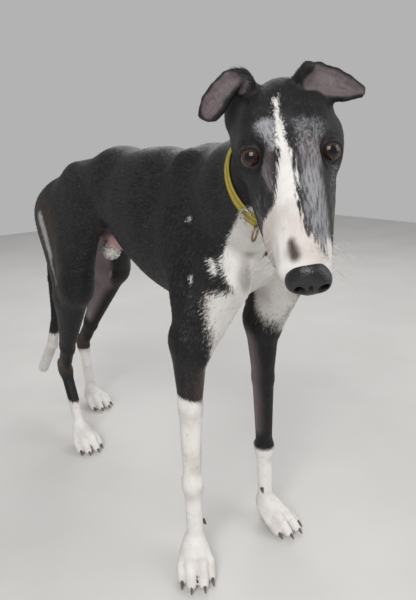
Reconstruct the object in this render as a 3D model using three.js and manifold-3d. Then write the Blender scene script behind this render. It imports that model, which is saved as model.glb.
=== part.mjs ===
// A standing greyhound, life size, in millimetres.
// X is the dog's heading, Y its left side and Z is up, with the soles at Z = 0.
import * as THREE from "three";
import { mergeVertices } from "three/addons/utils/BufferGeometryUtils.js";
import Module from "manifold-3d";

const wasm = await Module();
wasm.setup();

// Driving sizes
const STAND = [44.5, -52]; // where the middle of the dog's box lies on the floor
const COAT = 1.5; // the coat's depth over the skin
const GAP = 0.3; // room that touching pieces keep
const HALF_GAP = GAP / 2;
const CLEAR = 0.8; // room between two nets of the same cells
const SIDES = [-1, 1]; // right, left
const SIDE_NAMES = ["right", "left"];

// Vectors as plain lists
const plus = (a, b) => [a[0] + b[0], a[1] + b[1], a[2] + b[2]];
const minus = (a, b) => [a[0] - b[0], a[1] - b[1], a[2] - b[2]];
const times = (a, s) => [a[0] * s, a[1] * s, a[2] * s];
const dot = (a, b) => a[0] * b[0] + a[1] * b[1] + a[2] * b[2];
const mix = (a, b, t) => plus(times(a, 1 - t), times(b, t));
const length = (a) => Math.hypot(a[0], a[1], a[2]);
const unit = (a) => times(a, 1 / length(a));
const cross = (a, b) => [
  a[1] * b[2] - a[2] * b[1],
  a[2] * b[0] - a[0] * b[2],
  a[0] * b[1] - a[1] * b[0],
];
const turn = (degrees) => (degrees * Math.PI) / 180;

// A mass is one rounded form of flesh. Its blend is how far it melts into the masses before it.
function bone(a, b, ra, rb, blend = 12, flat = 1, side = [0, 1, 0]) {
  return { bone: true, a, b, ra, rb, blend, flat, side: unit(side), dent: false };
}

function ball(c, r, blend = 12, along = [1, 0, 0], side = [0, 1, 0]) {
  const x = unit(along);
  const z = unit(cross(x, side));
  return { bone: false, c, r, blend, axes: [x, cross(z, x), z], dent: false };
}

function dent(mass) {
  return { ...mass, dent: true };
}

// anatomy starts
// Stance, as points on the floor and joints over them
const FORE_MIDDLE = 12;
const ELBOW_HEIGHT = 408;
const WRIST_HEIGHT = 150;
const KNUCKLE_HEIGHT = 36;

const trunk = [
  ball([108, 4, 582], [160, 88, 118], 0, [0.97, 0, -0.24]),
  ball([208, 7, 572], [112, 72, 114], 36),
  bone([190, 8, 464], [84, 4, 510], 40, 38, 32, 0.7),
  ball([280, 11, 556], [54, 50, 54], 30),
  bone([82, 2, 644], [-60, 0, 653], 58, 54, 40, 1.1),
  bone([-60, 0, 653], [-205, 0, 632], 54, 54, 36, 1.15),
  bone([15, 0, 592], [-125, 0, 611], 66, 56, 44, 0.95),
  ball([-262, 0, 590], [120, 66, 68], 38, [0.9, 0, 0.44]),
  ball([205, 4, 664], [78, 32, 46], 30),
];
for (const s of SIDES) {
  trunk.push(ball([-182, s * 42, 664], [26, 14, 18], 16));
}

const NECK_BASE = [236, 4, 612];
const NECK_MIDDLE = [322, -30, 642];
const COLLAR_CENTRE = [405, -60, 665];
const NECK_TOP = [446, -88, 717];
const neck = [
  bone(NECK_BASE, NECK_MIDDLE, 88, 74, 44, 0.74, [0.25, 0.97, 0]),
  bone(NECK_MIDDLE, COLLAR_CENTRE, 74, 62, 26, 0.8, [0.38, 0.92, 0]),
  bone(COLLAR_CENTRE, NECK_TOP, 62, 52, 20, 0.84, [0.45, 0.89, 0]),
];

// One foreleg, with its shoulder, down to the knuckles
function foreleg(s, wrist, elbow, knuckle) {
  const middle = FORE_MIDDLE;
  const point = [302, middle + s * 66, 518];
  return [
    bone([205, middle + s * 52, 670], [296, middle + s * 72, 530], 34, 44, 28, 0.6),
    bone([206, middle + s * 68, 596], plus(elbow, [-4, 0, 26]), 46, 27, 22, 0.6),
    bone(point, plus(elbow, [8, s * -3, 4]), 40, 36, 22, 0.8),
    ball(plus(elbow, [-16, 0, 12]), [18, 14, 20], 12),
    bone(elbow, mix(elbow, wrist, 0.42), 33, 21, 16, 0.85),
    bone(mix(elbow, wrist, 0.42), wrist, 21, 15.5, 8, 0.9),
    ball(plus(wrist, [2, 0, 2]), [17, 17, 22], 10),
    ball(plus(wrist, [-17, 0, 2]), [8, 9, 10], 6),
    bone(wrist, knuckle, 14.5, 14.5, 10, 1),
  ];
}

// One hind leg from the hip down to the knuckles
function hindleg(s, hip, stifle, hock, knuckle) {
  const shin = unit(minus(hock, stifle));
  const heel = plus(hock, [-17, 0, 14]);
  const calf = mix(stifle, hock, 0.14);
  return [
    bone(plus(hip, [-12, s * 2, -36]), plus(stifle, [2, -s * 3, 22]), 80, 52, 34, 0.46),
    bone(plus(hip, [-64, 0, -36]), plus(calf, [-48, s * -6, 10]), 53, 40, 30, 0.58),
    bone(plus(hip, [104, 4 * s, 0]), plus(stifle, [18, 0, 30]), 70, 40, 36, 0.45),
    bone(plus(hip, [170, 0, 42]), plus(stifle, [52, -s * 8, 92]), 32, 24, 28, 0.35),
    ball(plus(stifle, [22, 0, 8]), [24, 22, 30], 16),
    bone(stifle, mix(stifle, hock, 0.7), 42, 18, 20, 0.74),
    bone(mix(stifle, hock, 0.7), hock, 18, 14, 10, 0.8),
    bone(plus(calf, [-38, 0, -4]), mix(stifle, heel, 0.7), 36, 13, 20, 0.66),
    bone(mix(stifle, heel, 0.64), heel, 9, 8, 12),
    ball(hock, [19, 15, 24], 12, shin),
    ball(heel, [11, 10, 13], 9),
    bone(hock, knuckle, 15, 14, 10, 0.9),
  ];
}

// One paw, in its own frame: X to the toes, the floor at Z = 0
function paw(spread) {
  const made = [
    bone([4, 0, 38], [26, 0, 31], 17, 15, 0, 1.2),
    ball([14, 0, 10], [20, 20, 12], 10),
  ];
  for (const s of SIDES) {
    const mid = s * spread * 0.5;
    const out = s * spread * 1.18;
    made.push(bone([18, mid, 32], [50, mid, 27], 10.5, 9.5, 7));
    made.push(bone([50, mid, 27], [75, mid * 1.05, 10], 9.5, 8.5, 3));
    made.push(bone([10, out * 0.65, 28], [38, out, 21], 10, 9, 7));
    made.push(bone([38, out, 21], [60, out * 1.06, 9], 9, 8, 3));
    made.push(ball([66, mid, 5], [11, 7.5, 7], 3));
    made.push(ball([51, out, 5], [11, 7.5, 7], 3));
  }
  return made;
}

// Each leg: the paw's heel on the floor, its heading in degrees, and the joints over it
const PAW_SPREAD = 20;
const legs = {
  fore_right: { s: -1, heel: [232, -77, 0], heading: -33, joint: [233, -76, WRIST_HEIGHT] },
  fore_left: { s: 1, heel: [231, 99, 0], heading: 0, joint: [229, 100, WRIST_HEIGHT] },
  hind_right: { s: -1, heel: [-276, -51, 0], heading: -5, joint: [-333, -50, 176] },
  hind_left: { s: 1, heel: [-462, 72, 0], heading: 1, joint: [-478, 70, 172] },
};
const dewclaws = {
  fore_right: [240, -62, 76],
  fore_left: [238, 86, 72],
};
const elbows = {
  fore_right: [236, -75, ELBOW_HEIGHT],
  fore_left: [232, 91, ELBOW_HEIGHT],
};
const hips = { hind_right: [-266, -44, 598], hind_left: [-266, 44, 598] };
const stifles = { hind_right: [-176, -74, 424], hind_left: [-310, 96, 420] };

// Where the claws of a middle and an outer toe start, in the paw's own frame
function clawRoots(s) {
  return [
    [[72, s * PAW_SPREAD * 0.53, 13], 1],
    [[58, s * PAW_SPREAD * 1.25, 12], 2],
  ];
}

function knuckleOf(leg) {
  return plus(leg.heel, [6, 0, KNUCKLE_HEIGHT]);
}

const tail = [
  bone([-356, 0, 618], [-394, -6, 570], 27, 20, 30, 0.9),
  bone([-394, -6, 570], [-410, -18, 500], 20, 15, 10),
  bone([-410, -18, 500], [-402, -30, 400], 15, 12, 8),
  bone([-402, -30, 400], [-398, -34, 300], 12, 11, 6),
  bone([-398, -34, 300], [-440, -35, 212], 11, 13, 6),
  bone([-440, -35, 212], [-518, -37, 122], 13, 13, 8),
];

const groin = [
  bone([-150, -4, 544], [-44, -5, 521], 19, 14, 14),
  ball([-110, -14, 506], [20, 18, 19], 6),
];

// The head, in its own frame: the origin between the eyes, X to the nose, Y to the dog's left
const HEAD_ORIGIN = [512.5, -145, 700.5];
const HEAD_TURN = { yaw: -41, dip: 35.5, roll: 3.8 };
const EYE = [-3, 37, -2];
const EYE_RADIUS = 12;
const head = [
  ball([-46, 0, -9], [58, 43, 34.5], 0),
  ball([-6, 0, 0], [46, 29, 27], 18),
  ball([-92, 0, -9], [22, 20, 21], 18),
  ball([-73, -3, 2], [32, 32, 28], 20),
  ball([-84, -45, -6], [22, 20, 24], 16),
  bone([10, 0, -5], [134, 1, -9], 32, 20, 22, 0.9),
  bone([24, 0, 6], [142, 1, -2], 19, 11, 14),
  bone([-48, 0, -40], [60, 0, -38], 24, 15, 22, 1.2),
  bone([60, 0, -38], [120, 1, -33], 15, 10, 12, 1.3),
];
for (const s of SIDES) {
  head.push(ball([-52, s * 29, -3], [38, 20, 30], 14));
  head.push(ball([-14, s * 38, -19], [60, 13, 18], 14, [1, -0.25 * s, 0]));
  head.push(ball([-44, s * 34, -30], [36, 17, 26], 16));
  head.push(ball([-16, s * 27, 13], [18, 11, 10], 9));
  head.push(ball([-17, s * 41, -4], [21, 9, 14], 10));
  head.push(bone([44, s * 19, -20], [138, s * 10 + 1, -14], 16, 12, 10));
  head.push(bone([26, s * 24, -30], [108, s * 15, -28], 16, 11, 12));
}

function eyeAt(s) {
  return [EYE[0], s * EYE[1], EYE[2]];
}

// Each eye looks out of a shallow recess, in the direction of its gaze
function gaze(s) {
  return unit([0.77, s * 0.3, 0.57]);
}

for (const s of SIDES) {
  head.push(dent(ball(plus(eyeAt(s), times(gaze(s), 21)), [17, 16, 16.5], 10)));
}

const NOSE_CENTRE = [150, 2.5, -9];
const nose = [
  ball(NOSE_CENTRE, [12.5, 17.5, 14], 0),
  ball([151, 2.5, -1], [9, 12, 8], 6),
  bone([157, 2.5, -12], [150, 2.5, -25], 7, 5, 6),
];
for (const s of SIDES) {
  nose.push(ball([154, 2.5 + s * 10, -10], [9, 8.5, 9], 5));
}

// An ear is a chain of flat lengths, each with a half width and the way it faces, in a raised rim
const EAR_THICK = 0.15;
const RIM = 2.6;
function ear(chain) {
  const made = [];
  for (let i = 0; i + 1 < chain.length; i += 1) {
    const from = chain[i];
    const to = chain[i + 1];
    made.push(bone(from.at, to.at, from.wide, to.wide, 5, EAR_THICK, from.faces));
  }
  for (const edge of SIDES) {
    for (let i = 1; i + 1 < chain.length; i += 1) {
      const across = unit(cross(chain[i].faces, minus(chain[i + 1].at, chain[i].at)));
      const lift = times(unit(chain[i].faces), RIM * 0.7);
      const from = plus(chain[i].at, plus(lift, times(across, edge * chain[i].wide * 0.86)));
      const to = plus(chain[i + 1].at, plus(lift, times(across, edge * chain[i + 1].wide * 0.86)));
      made.push(bone(from, to, RIM, RIM * 0.8, 4));
    }
  }
  return made;
}
const earEnds = [[-57, -73, 14], [-63, -87, 13]];
const earRoots = {
  right: [
    bone([-80, -30, 20], [-80, -40, 36], 8, 6, 6),
    bone(earEnds[0], earEnds[1], 4.5, 4.5, 3, EAR_THICK, [0.75, -0.3, 0.65]),
  ],
  left: [bone([-79, 9, 26], [-76, 22, 46], 7, 5, 6)],
};
const ears = {
  right: [
    { at: [-76, -38, 12], wide: 17, faces: [0.8, -0.5, 0.3] },
    { at: [-78, -43, 34], wide: 11, faces: [0.85, -0.4, 0.5] },
    { at: [-75, -54, 39], wide: 10, faces: [0.75, -0.3, 0.65] },
    { at: [-70, -65, 31], wide: 10.5, faces: [0.75, -0.3, 0.65] },
    { at: [-65, -74, 21], wide: 11.5, faces: [0.75, -0.3, 0.65] },
    { at: [-62, -79, 15], wide: 9, faces: [0.75, -0.3, 0.65] },
  ],
  left: [
    { at: [-76, 26, 14], wide: 17, faces: [0.8, 0.5, 0.3] },
    { at: [-74, 29, 33], wide: 15.5, faces: [0.85, 0.2, 0.6] },
    { at: [-67, 46, 30], wide: 14, faces: [0.75, 0.1, 0.7] },
    { at: [-63, 59, 27], wide: 10, faces: [0.75, 0.1, 0.7] },
    { at: [-60, 74, 24], wide: 3.5, faces: [0.75, 0.1, 0.7] },
  ],
};
// anatomy ends

// A frame turned by yaw, dip and roll, as an origin and three axes
function frameAt(origin, yaw, dip = 0, roll = 0) {
  const x = [
    Math.cos(turn(dip)) * Math.cos(turn(yaw)),
    Math.cos(turn(dip)) * Math.sin(turn(yaw)),
    -Math.sin(turn(dip)),
  ];
  const level = [-Math.sin(turn(yaw)), Math.cos(turn(yaw)), 0];
  const up = cross(x, level);
  const y = plus(times(level, Math.cos(turn(roll))), times(up, Math.sin(turn(roll))));
  return { origin, axes: [x, y, cross(x, y)] };
}

function outOf(frame, p) {
  const [x, y, z] = frame.axes;
  return plus(frame.origin, plus(times(x, p[0]), plus(times(y, p[1]), times(z, p[2]))));
}

function turnOut(frame, v) {
  return minus(outOf(frame, v), frame.origin);
}

function placed(masses, frame) {
  return masses.map((m) =>
    m.bone
      ? { ...m, a: outOf(frame, m.a), b: outOf(frame, m.b), side: turnOut(frame, m.side) }
      : { ...m, c: outOf(frame, m.c), axes: m.axes.map((v) => turnOut(frame, v)) },
  );
}

const headFrame = frameAt(HEAD_ORIGIN, HEAD_TURN.yaw, HEAD_TURN.dip, HEAD_TURN.roll);

// The flesh of the body and the head, without tail and ears
const flesh = [...trunk, ...neck];
for (const [name, leg] of Object.entries(legs)) {
  const knuckle = knuckleOf(leg);
  if (elbows[name]) flesh.push(...foreleg(leg.s, leg.joint, elbows[name], knuckle));
  else flesh.push(...hindleg(leg.s, hips[name], stifles[name], leg.joint, knuckle));
  const paws = placed(paw(PAW_SPREAD), frameAt(leg.heel, leg.heading));
  flesh.push(...paws.map((m, i) => (i ? m : { ...m, blend: 10 })));
}
flesh.push(...groin);
flesh.push(...placed(head, headFrame).map((m, i) => (i ? m : { ...m, blend: 24 })));
const earFlesh = SIDE_NAMES.map((side) => placed([...ear(ears[side]), ...earRoots[side]], headFrame));

// How far a point is from one mass, below nothing inside it
function distanceTo(m, p) {
  if (m.bone) {
    const way = minus(m.b, m.a);
    const from = minus(p, m.a);
    const t = Math.min(1, Math.max(0, dot(from, way) / dot(way, way)));
    const q = minus(from, times(way, t));
    const r = m.ra + (m.rb - m.ra) * t;
    const s = dot(q, m.side);
    const w = Math.max(dot(q, q) - s * s, 0);
    const thin = r * m.flat;
    const k0 = Math.sqrt((s * s) / (thin * thin) + w / (r * r));
    const k1 = Math.sqrt((s * s) / thin ** 4 + w / r ** 4);
    return k1 > 1e-9 ? (k0 * (k0 - 1)) / k1 : -Math.min(thin, r);
  }
  const from = minus(p, m.c);
  let k0 = 0;
  let k1 = 0;
  for (let i = 0; i < 3; i += 1) {
    const v = dot(from, m.axes[i]) / m.r[i];
    k0 += v * v;
    k1 += (v / m.r[i]) ** 2;
  }
  return k1 > 1e-12 ? (Math.sqrt(k0) * (Math.sqrt(k0) - 1)) / Math.sqrt(k1) : -Math.min(...m.r);
}

function depth(masses, p) {
  let d = Infinity;
  for (const m of masses) {
    const e = distanceTo(m, p);
    const other = m.dent ? -e : e;
    const sign = m.dent ? -1 : 1;
    const h = m.blend ? Math.max(m.blend - Math.abs(d - other), 0) / m.blend : 0;
    const soft = h > 0 ? (h * h * m.blend) / 4 : 0;
    d = sign * (Math.min(sign * d, sign * other) - soft);
  }
  return d;
}

// The masses that can reach a box
function near(masses, low, high) {
  const middle = mix(low, high, 0.5);
  const reach = length(minus(high, low)) / 2;
  return masses.filter((m) => {
    const centre = m.bone ? mix(m.a, m.b, 0.5) : m.c;
    const size = m.bone
      ? length(minus(m.a, m.b)) / 2 + Math.max(m.ra, m.rb)
      : Math.max(...m.r);
    return length(minus(centre, middle)) < reach + size + m.blend + 20;
  });
}

// A cell's 8 corners, its 12 edges by axis, and its 6 walls as rings of corners and edges
const CORNERS = [...Array(8).keys()].map((c) => [c & 1, (c >> 1) & 1, c >> 2]);
const bits = (axis, along, u, v) =>
  (along << axis) | (u << (axis + 1) % 3) | (v << (axis + 2) % 3);
const EDGES = [];
const WALLS = [];
for (let axis = 0; axis < 3; axis += 1) {
  for (const [u, v] of [[0, 0], [1, 0], [0, 1], [1, 1]])
    EDGES.push([bits(axis, 0, u, v), bits(axis, 1, u, v)]);
}
for (let axis = 0; axis < 3; axis += 1)
  for (const along of [0, 1]) {
    const ring = [[0, 0], [1, 0], [1, 1], [0, 1]].map(([u, v]) => bits(axis, along, u, v));
    const edges = ring.map((c, i) => {
      const next = ring[(i + 1) % 4];
      return EDGES.findIndex(([a, b]) => a === Math.min(c, next) && b === Math.max(c, next));
    });
    WALLS.push({ ring, edges });
  }

// The sheets of surface that cross a cell, each as a list of the edges it crosses
function sheets(inside) {
  const sheet = EDGES.map(([a, b], i) => (inside[a] === inside[b] ? -1 : i));
  const join = (a, b) => {
    const [old, kept] = [sheet[a], sheet[b]];
    sheet.forEach((v, i) => {
      if (v === old) sheet[i] = kept;
    });
  };
  for (const { ring, edges } of WALLS) {
    const crossed = edges.filter((e) => sheet[e] >= 0);
    if (crossed.length === 2) join(...crossed);
    if (crossed.length === 4)
      ring.forEach((c, i) => inside[c] && join(edges[i], edges[(i + 3) % 4]));
  }
  return [...new Set(sheet.filter((v) => v >= 0))].map((v) =>
    EDGES.map((_, i) => i).filter((i) => sheet[i] === v),
  );
}

// A closed net over the surface where the depth is `level`, in cells of one size
function net(masses, low, high, cell, level) {
  const close = near(masses, low, high);
  const n = cell.map((c, i) => Math.ceil((high[i] - low[i]) / c) + 1);
  const at = (i, j, k) => (k * n[1] + j) * n[0] + i;
  const spot = (i, j, k) => [low[0] + i * cell[0], low[1] + j * cell[1], low[2] + k * cell[2]];
  const field = new Float64Array(n[0] * n[1] * n[2]);
  for (let k = 0; k < n[2]; k += 1)
    for (let j = 0; j < n[1]; j += 1)
      for (let i = 0; i < n[0]; i += 1) {
        const edge = !i || !j || !k || i === n[0] - 1 || j === n[1] - 1 || k === n[2] - 1;
        const d = depth(close, spot(i, j, k)) - level;
        field[at(i, j, k)] = edge ? Math.max(d, 0.5) : d;
      }
  const points = [];
  const index = new Map();
  for (let k = 0; k + 1 < n[2]; k += 1)
    for (let j = 0; j + 1 < n[1]; j += 1)
      for (let i = 0; i + 1 < n[0]; i += 1) {
        const d = CORNERS.map(([a, b, c]) => field[at(i + a, j + b, k + c)]);
        const inside = d.map((v) => v < 0);
        if (inside.every((v) => v === inside[0])) continue;
        for (const sheet of sheets(inside)) {
          let sum = [0, 0, 0];
          for (const e of sheet) {
            const [a, b] = EDGES[e];
            sum = plus(sum, mix(CORNERS[a], CORNERS[b], d[a] / (d[a] - d[b])));
            index.set(at(i, j, k) * 12 + e, points.length);
          }
          const spotInCell = times(sum, 1 / sheet.length);
          const p = [i, j, k].map((v, x) => low[x] + (v + spotInCell[x]) * cell[x]);
          points.push(settle(close, p, level, cell));
        }
      }
  const faces = [];
  const strides = [1, n[0], n[0] * n[1]];
  for (let k = 0; k + 1 < n[2]; k += 1)
    for (let j = 0; j + 1 < n[1]; j += 1)
      for (let i = 0; i + 1 < n[0]; i += 1)
        for (let axis = 0; axis < 3; axis += 1) {
          if ([i, j, k].some((v, x) => x !== axis && v === 0)) continue;
          const here = at(i, j, k);
          const filled = field[here] < 0;
          if (filled === field[here + strides[axis]] < 0) continue;
          const u = strides[(axis + 1) % 3];
          const v = strides[(axis + 2) % 3];
          const ring = [[1, 1], [0, 1], [0, 0], [1, 0]].map(([a, b]) =>
            index.get((here - a * u - b * v) * 12 + axis * 4 + a + 2 * b),
          );
          if (!filled) ring.reverse();
          const split = length(minus(points[ring[0]], points[ring[2]])) <=
            length(minus(points[ring[1]], points[ring[3]]));
          if (split) faces.push(ring[0], ring[1], ring[2], ring[0], ring[2], ring[3]);
          else faces.push(ring[1], ring[2], ring[3], ring[1], ring[3], ring[0]);
        }
  return { points, faces };
}

// A net's point moved onto the surface, within its own cell
function settle(masses, p, level, cell) {
  const step = 0.5;
  const d = depth(masses, p) - level;
  const slope = [0, 1, 2].map((i) => {
    const q = [...p];
    q[i] += step;
    return (depth(masses, q) - level - d) / step;
  });
  const steep = Math.max(dot(slope, slope), 0.05);
  return p.map((v, i) => {
    const room = cell[i] * 0.35;
    return v - Math.min(room, Math.max(-room, (d * slope[i]) / steep));
  });
}

// Solids for manifold-3d
function solidFrom({ points, faces }) {
  const made = new wasm.Manifold(
    new wasm.Mesh({
      numProp: 3,
      vertProperties: new Float32Array(points.flat()),
      triVerts: new Uint32Array(faces),
    }),
  );
  return made;
}

function solidOf(geometry) {
  const bare = geometry.index ? geometry.toNonIndexed() : geometry.clone();
  bare.deleteAttribute("normal");
  bare.deleteAttribute("uv");
  const merged = mergeVertices(bare, 1e-3);
  return new wasm.Manifold(
    new wasm.Mesh({
      numProp: 3,
      vertProperties: merged.attributes.position.array,
      triVerts: new Uint32Array(merged.index.array),
    }),
  );
}

function largest(solid) {
  const bodies = solid.decompose();
  return bodies.reduce((a, b) => (a.volume() > b.volume() ? a : b));
}

// All the space on one side of a plane: behind the point, against the way the normal points
const SPACE = 3000;
function behind(point, normal) {
  const up = unit(normal);
  const box = new THREE.BoxGeometry(SPACE, SPACE, SPACE);
  box.translate(0, 0, -SPACE / 2);
  const spin = new THREE.Quaternion().setFromUnitVectors(
    new THREE.Vector3(0, 0, 1),
    new THREE.Vector3(...up),
  );
  box.applyQuaternion(spin);
  box.translate(...point);
  return solidOf(box);
}

// The space inside a set of planes, each pushed out by `grow`
function between(planes, grow = 0) {
  return planes
    .map(([point, normal]) => behind(plus(point, times(unit(normal), grow)), normal))
    .reduce((a, b) => a.intersect(b));
}

// A tapered, bent rod with round sections, closed at both ends
function horn(from, along, bend, size, tip, steps = 2, sides = 5) {
  const side = unit(cross(along, bend));
  const rings = [];
  let spot = from;
  let way = unit(along);
  for (let i = 0; i <= steps; i += 1) {
    const r = size * (1 - (i / steps) * (1 - tip));
    const up = cross(way, side);
    const ring = [...Array(sides).keys()].map((k) => {
      const a = turn((360 * k) / sides);
      return plus(spot, plus(times(side, r * 0.8 * Math.cos(a)), times(up, r * Math.sin(a))));
    });
    rings.push(ring);
    spot = plus(spot, times(way, length(along) / steps));
    way = unit(plus(way, times(bend, 1 / steps)));
  }
  const points = [...rings.flat(), from, minus(spot, times(way, length(along) / steps))];
  const faces = [];
  for (let k = 0; k < sides; k += 1) {
    const n = (k + 1) % sides;
    const end = steps * sides;
    faces.push(n, k, points.length - 2, end + k, end + n, points.length - 1);
    for (let i = 0; i < steps; i += 1) {
      const a = i * sides;
      faces.push(a + k, a + n, a + sides + n, a + k, a + sides + n, a + sides + k);
    }
  }
  return solidFrom({ points, faces });
}

// Where the body is parted. A plane is a point and the way out of the piece behind it.
const NECK_PLANE = [[262, -6, 640], unit([0.72, -0.25, 0.65])];
const HEAD_PLANE = [[442, -84, 708], unit(minus(NECK_TOP, COLLAR_CENTRE))];
const ELBOW_CUT = 400;
const PAW_CUT = 60;
const TAIL_CUT = 262;
const KNEE_SHARE = 0.12;
const ANKLE_SHARE = 0.9;

const flip = ([point, normal]) => [point, times(normal, -1)];
const under = (z) => [[0, 0, z], [0, 0, 1]];
const over = (z) => [[0, 0, z], [0, 0, -1]];

function armPlanes(s) {
  return [
    [[0, FORE_MIDDLE + s * 50, 0], [0, -s, 0]],
    [[250, 0, 588], [0.25, 0, 1]],
    [[158, 0, 500], [-1, 0, 0.2]],
  ];
}

// Below the elbows the torso stays clear of the forelegs
function elbowPlanes(s) {
  return [
    [[0, FORE_MIDDLE + s * 36, 0], [0, -s, 0]],
    [[158, 0, 500], [-1, 0, 0.2]],
    under(ELBOW_CUT),
  ];
}

function thighPlanes(s) {
  return [
    [[0, s * 3, 0], [0, -s, 0]],
    [[0, s * 30, 545], [0, -s * 0.9, 0.42]],
    [[-88, 0, 560], [0.9, 0, 0.3]],
    [[-250, 0, 650], [-0.3, 0, 1]],
  ];
}

// Across a limb between two joints, at a share of the way from the first
function across(from, to, share) {
  return [mix(from, to, share), unit(minus(to, from))];
}

const PAINT = {
  coat: { color: 0x1b1a1c, roughness: 0.55 },
  white: { color: 0xe9e4dd, roughness: 0.6 },
  horn: { color: 0x161314, roughness: 0.45 },
  leather: { color: 0x17161a, roughness: 0.35 },
  eye: { color: 0x3a1c0e, roughness: 0.08 },
  strap: { color: 0xb59a1c, roughness: 0.6 },
  metal: { color: 0x8d8775, roughness: 0.35, metalness: 1 },
};

const root = new THREE.Group();
root.name = "greyhound";
root.position.set(-STAND[0], -STAND[1], 0);

function addNode(name, solid, paint) {
  const mesh = largest(solid).getMesh();
  const geometry = new THREE.BufferGeometry();
  geometry.setAttribute("position", new THREE.BufferAttribute(mesh.vertProperties, 3));
  geometry.setIndex(new THREE.BufferAttribute(mesh.triVerts, 1));
  const made = new THREE.Mesh(geometry, new THREE.MeshStandardMaterial(PAINT[paint]));
  made.name = name;
  root.add(made);
}

// A piece of flesh: a net over a box, kept behind a set of planes
function piece(masses, low, high, cell, planes) {
  const solid = solidFrom(net(masses, low, high, cell, COAT));
  return planes.length ? solid.intersect(between(planes, -HALF_GAP)) : solid;
}

// A box around some points, with room on every side
function around(points, room) {
  const side = (pick) => [0, 1, 2].map((i) => pick(...points.map((p) => p[i])));
  const low = side(Math.min);
  const high = side(Math.max);
  return [minus(low, room), plus(high, room)];
}

// Torso
const TORSO_CELL = [48, 30, 30];
const TORSO_BOX = [[-420, -140, 372], [400, 150, 760]];
let torso = piece(flesh, ...TORSO_BOX, TORSO_CELL, [NECK_PLANE]);
for (const s of SIDES) {
  for (const planes of [armPlanes(s), elbowPlanes(s), thighPlanes(s)]) {
    torso = torso.subtract(between(planes, HALF_GAP));
  }
}
torso = largest(torso);
addNode("torso", torso, "coat");

// Tail: it leaves the torso through the torso's own surface
const TAIL_BOX = [[-580, -80, 80], [-330, 40, 660]];
const rump = solidFrom(net(flesh, ...TORSO_BOX, TORSO_CELL, COAT + CLEAR));
const tailPiece = solidFrom(net(tail, ...TAIL_BOX, [9, 9, 20], COAT)).subtract(rump);
addNode("tail_upper", tailPiece.intersect(between([over(TAIL_CUT)], -HALF_GAP)), "coat");
addNode("tail_tip", tailPiece.intersect(between([under(TAIL_CUT)], -HALF_GAP)), "white");

// Claws: four to a paw, with a dewclaw inside each foreleg
const CLAW = { size: 4, tip: 0.22, long: 20, dip: 3, bend: 0.75 };
const DEW_BEND = [0.5, 0, -0.3];
function clawsOf(name, leg) {
  const frame = frameAt(leg.heel, leg.heading);
  const made = [];
  for (const s of SIDES) {
    for (const [start, order] of clawRoots(s)) {
      const number = s * order + (s < 0 ? 3 : 2);
      const way = turnOut(frame, [CLAW.long, s * order, -CLAW.dip]);
      const bend = turnOut(frame, [0, 0, -CLAW.bend]);
      made.push({ name: `${number}`, from: outOf(frame, start), way, bend });
    }
  }
  if (dewclaws[name]) {
    made.push({ name: "dew", from: dewclaws[name], way: [5, -leg.s * 4, -9], bend: DEW_BEND });
  }
  return made;
}

function clawSolid(c, grow) {
  const from = minus(c.from, times(unit(c.way), grow));
  const way = times(c.way, 1 + (2 * grow) / length(c.way));
  return horn(from, way, c.bend, CLAW.size + 1.6 * grow, CLAW.tip);
}

// Legs. A foreleg is parted at the elbow and the paw.
function addForeleg(name, leg, clear) {
  const elbow = elbows[name];
  const shoulder = [260, FORE_MIDDLE + leg.s * 66, 560];
  const upper = around([elbow, shoulder], [115, 55, 50]);
  const lower = around([elbow, [leg.joint[0], leg.joint[1], PAW_CUT]], [46, 44, 12]);
  const upperPlanes = [...armPlanes(leg.s), over(ELBOW_CUT)];
  const lowerPlanes = [under(ELBOW_CUT), over(PAW_CUT)];
  addNode(`${name}_upper`, piece(flesh, ...upper, [24, 18, 24], upperPlanes), "coat");
  addNode(`${name}_lower`, clear(piece(flesh, ...lower, [11, 11, 32], lowerPlanes)), "coat");
}

// A hind leg is parted at the knee, the ankle and the paw
function addHindleg(name, leg) {
  const stifle = stifles[name];
  const joint = leg.joint;
  const knee = across(stifle, joint, KNEE_SHARE);
  const ankle = across(stifle, joint, ANKLE_SHARE);
  const inside = [[0, leg.s * 3, 0], [0, -leg.s, 0]];
  const thigh = around([hips[name], stifle], [205, 78, 95]);
  const shank = around([stifle, joint], [62, 42, 40]);
  const hock = around([joint, [leg.heel[0], leg.heel[1], PAW_CUT]], [44, 36, 40]);
  const thighCuts = [...thighPlanes(leg.s), knee];
  const shankCuts = [inside, flip(knee), ankle];
  const hockCuts = [flip(ankle), over(PAW_CUT)];
  addNode(`${name}_thigh`, piece(flesh, ...thigh, [33, 22, 31], thighCuts), "coat");
  addNode(`${name}_shank`, piece(flesh, ...shank, [18, 14, 30], shankCuts), "coat");
  addNode(`${name}_hock`, piece(flesh, ...hock, [11, 11, 22], hockCuts), "white");
}

for (const [name, leg] of Object.entries(legs)) {
  const claws = clawsOf(name, leg);
  const clear = (solid) => claws.reduce((a, c) => a.subtract(clawSolid(c, GAP)), solid);
  if (elbows[name]) addForeleg(name, leg, clear);
  else addHindleg(name, leg);
  const heel = leg.heel;
  const toes = outOf(frameAt(heel, leg.heading), [80, 0, 0]);
  const room = around([heel, toes, [heel[0], heel[1], PAW_CUT]], [38, 36, 10]);
  const paws = piece(flesh, ...room, [10.5, 10.5, 10], [under(PAW_CUT), over(-HALF_GAP)]);
  addNode(`${name}_paw`, clear(paws), "white");
  for (const claw of claws) addNode(`${name}_claw_${claw.name}`, clawSolid(claw, 0), "horn");
}

// Head, with its eyes, nose and ears
const HEAD_BOX = [[370, -320, 550], [670, 30, 850]];
const HEAD_CELL = [10.6, 10.6, 10.6];
let skull = piece(flesh, ...HEAD_BOX, HEAD_CELL, [flip(HEAD_PLANE)]);
const grown = solidFrom(net(flesh, ...HEAD_BOX, HEAD_CELL, COAT + CLEAR + 0.1));

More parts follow.
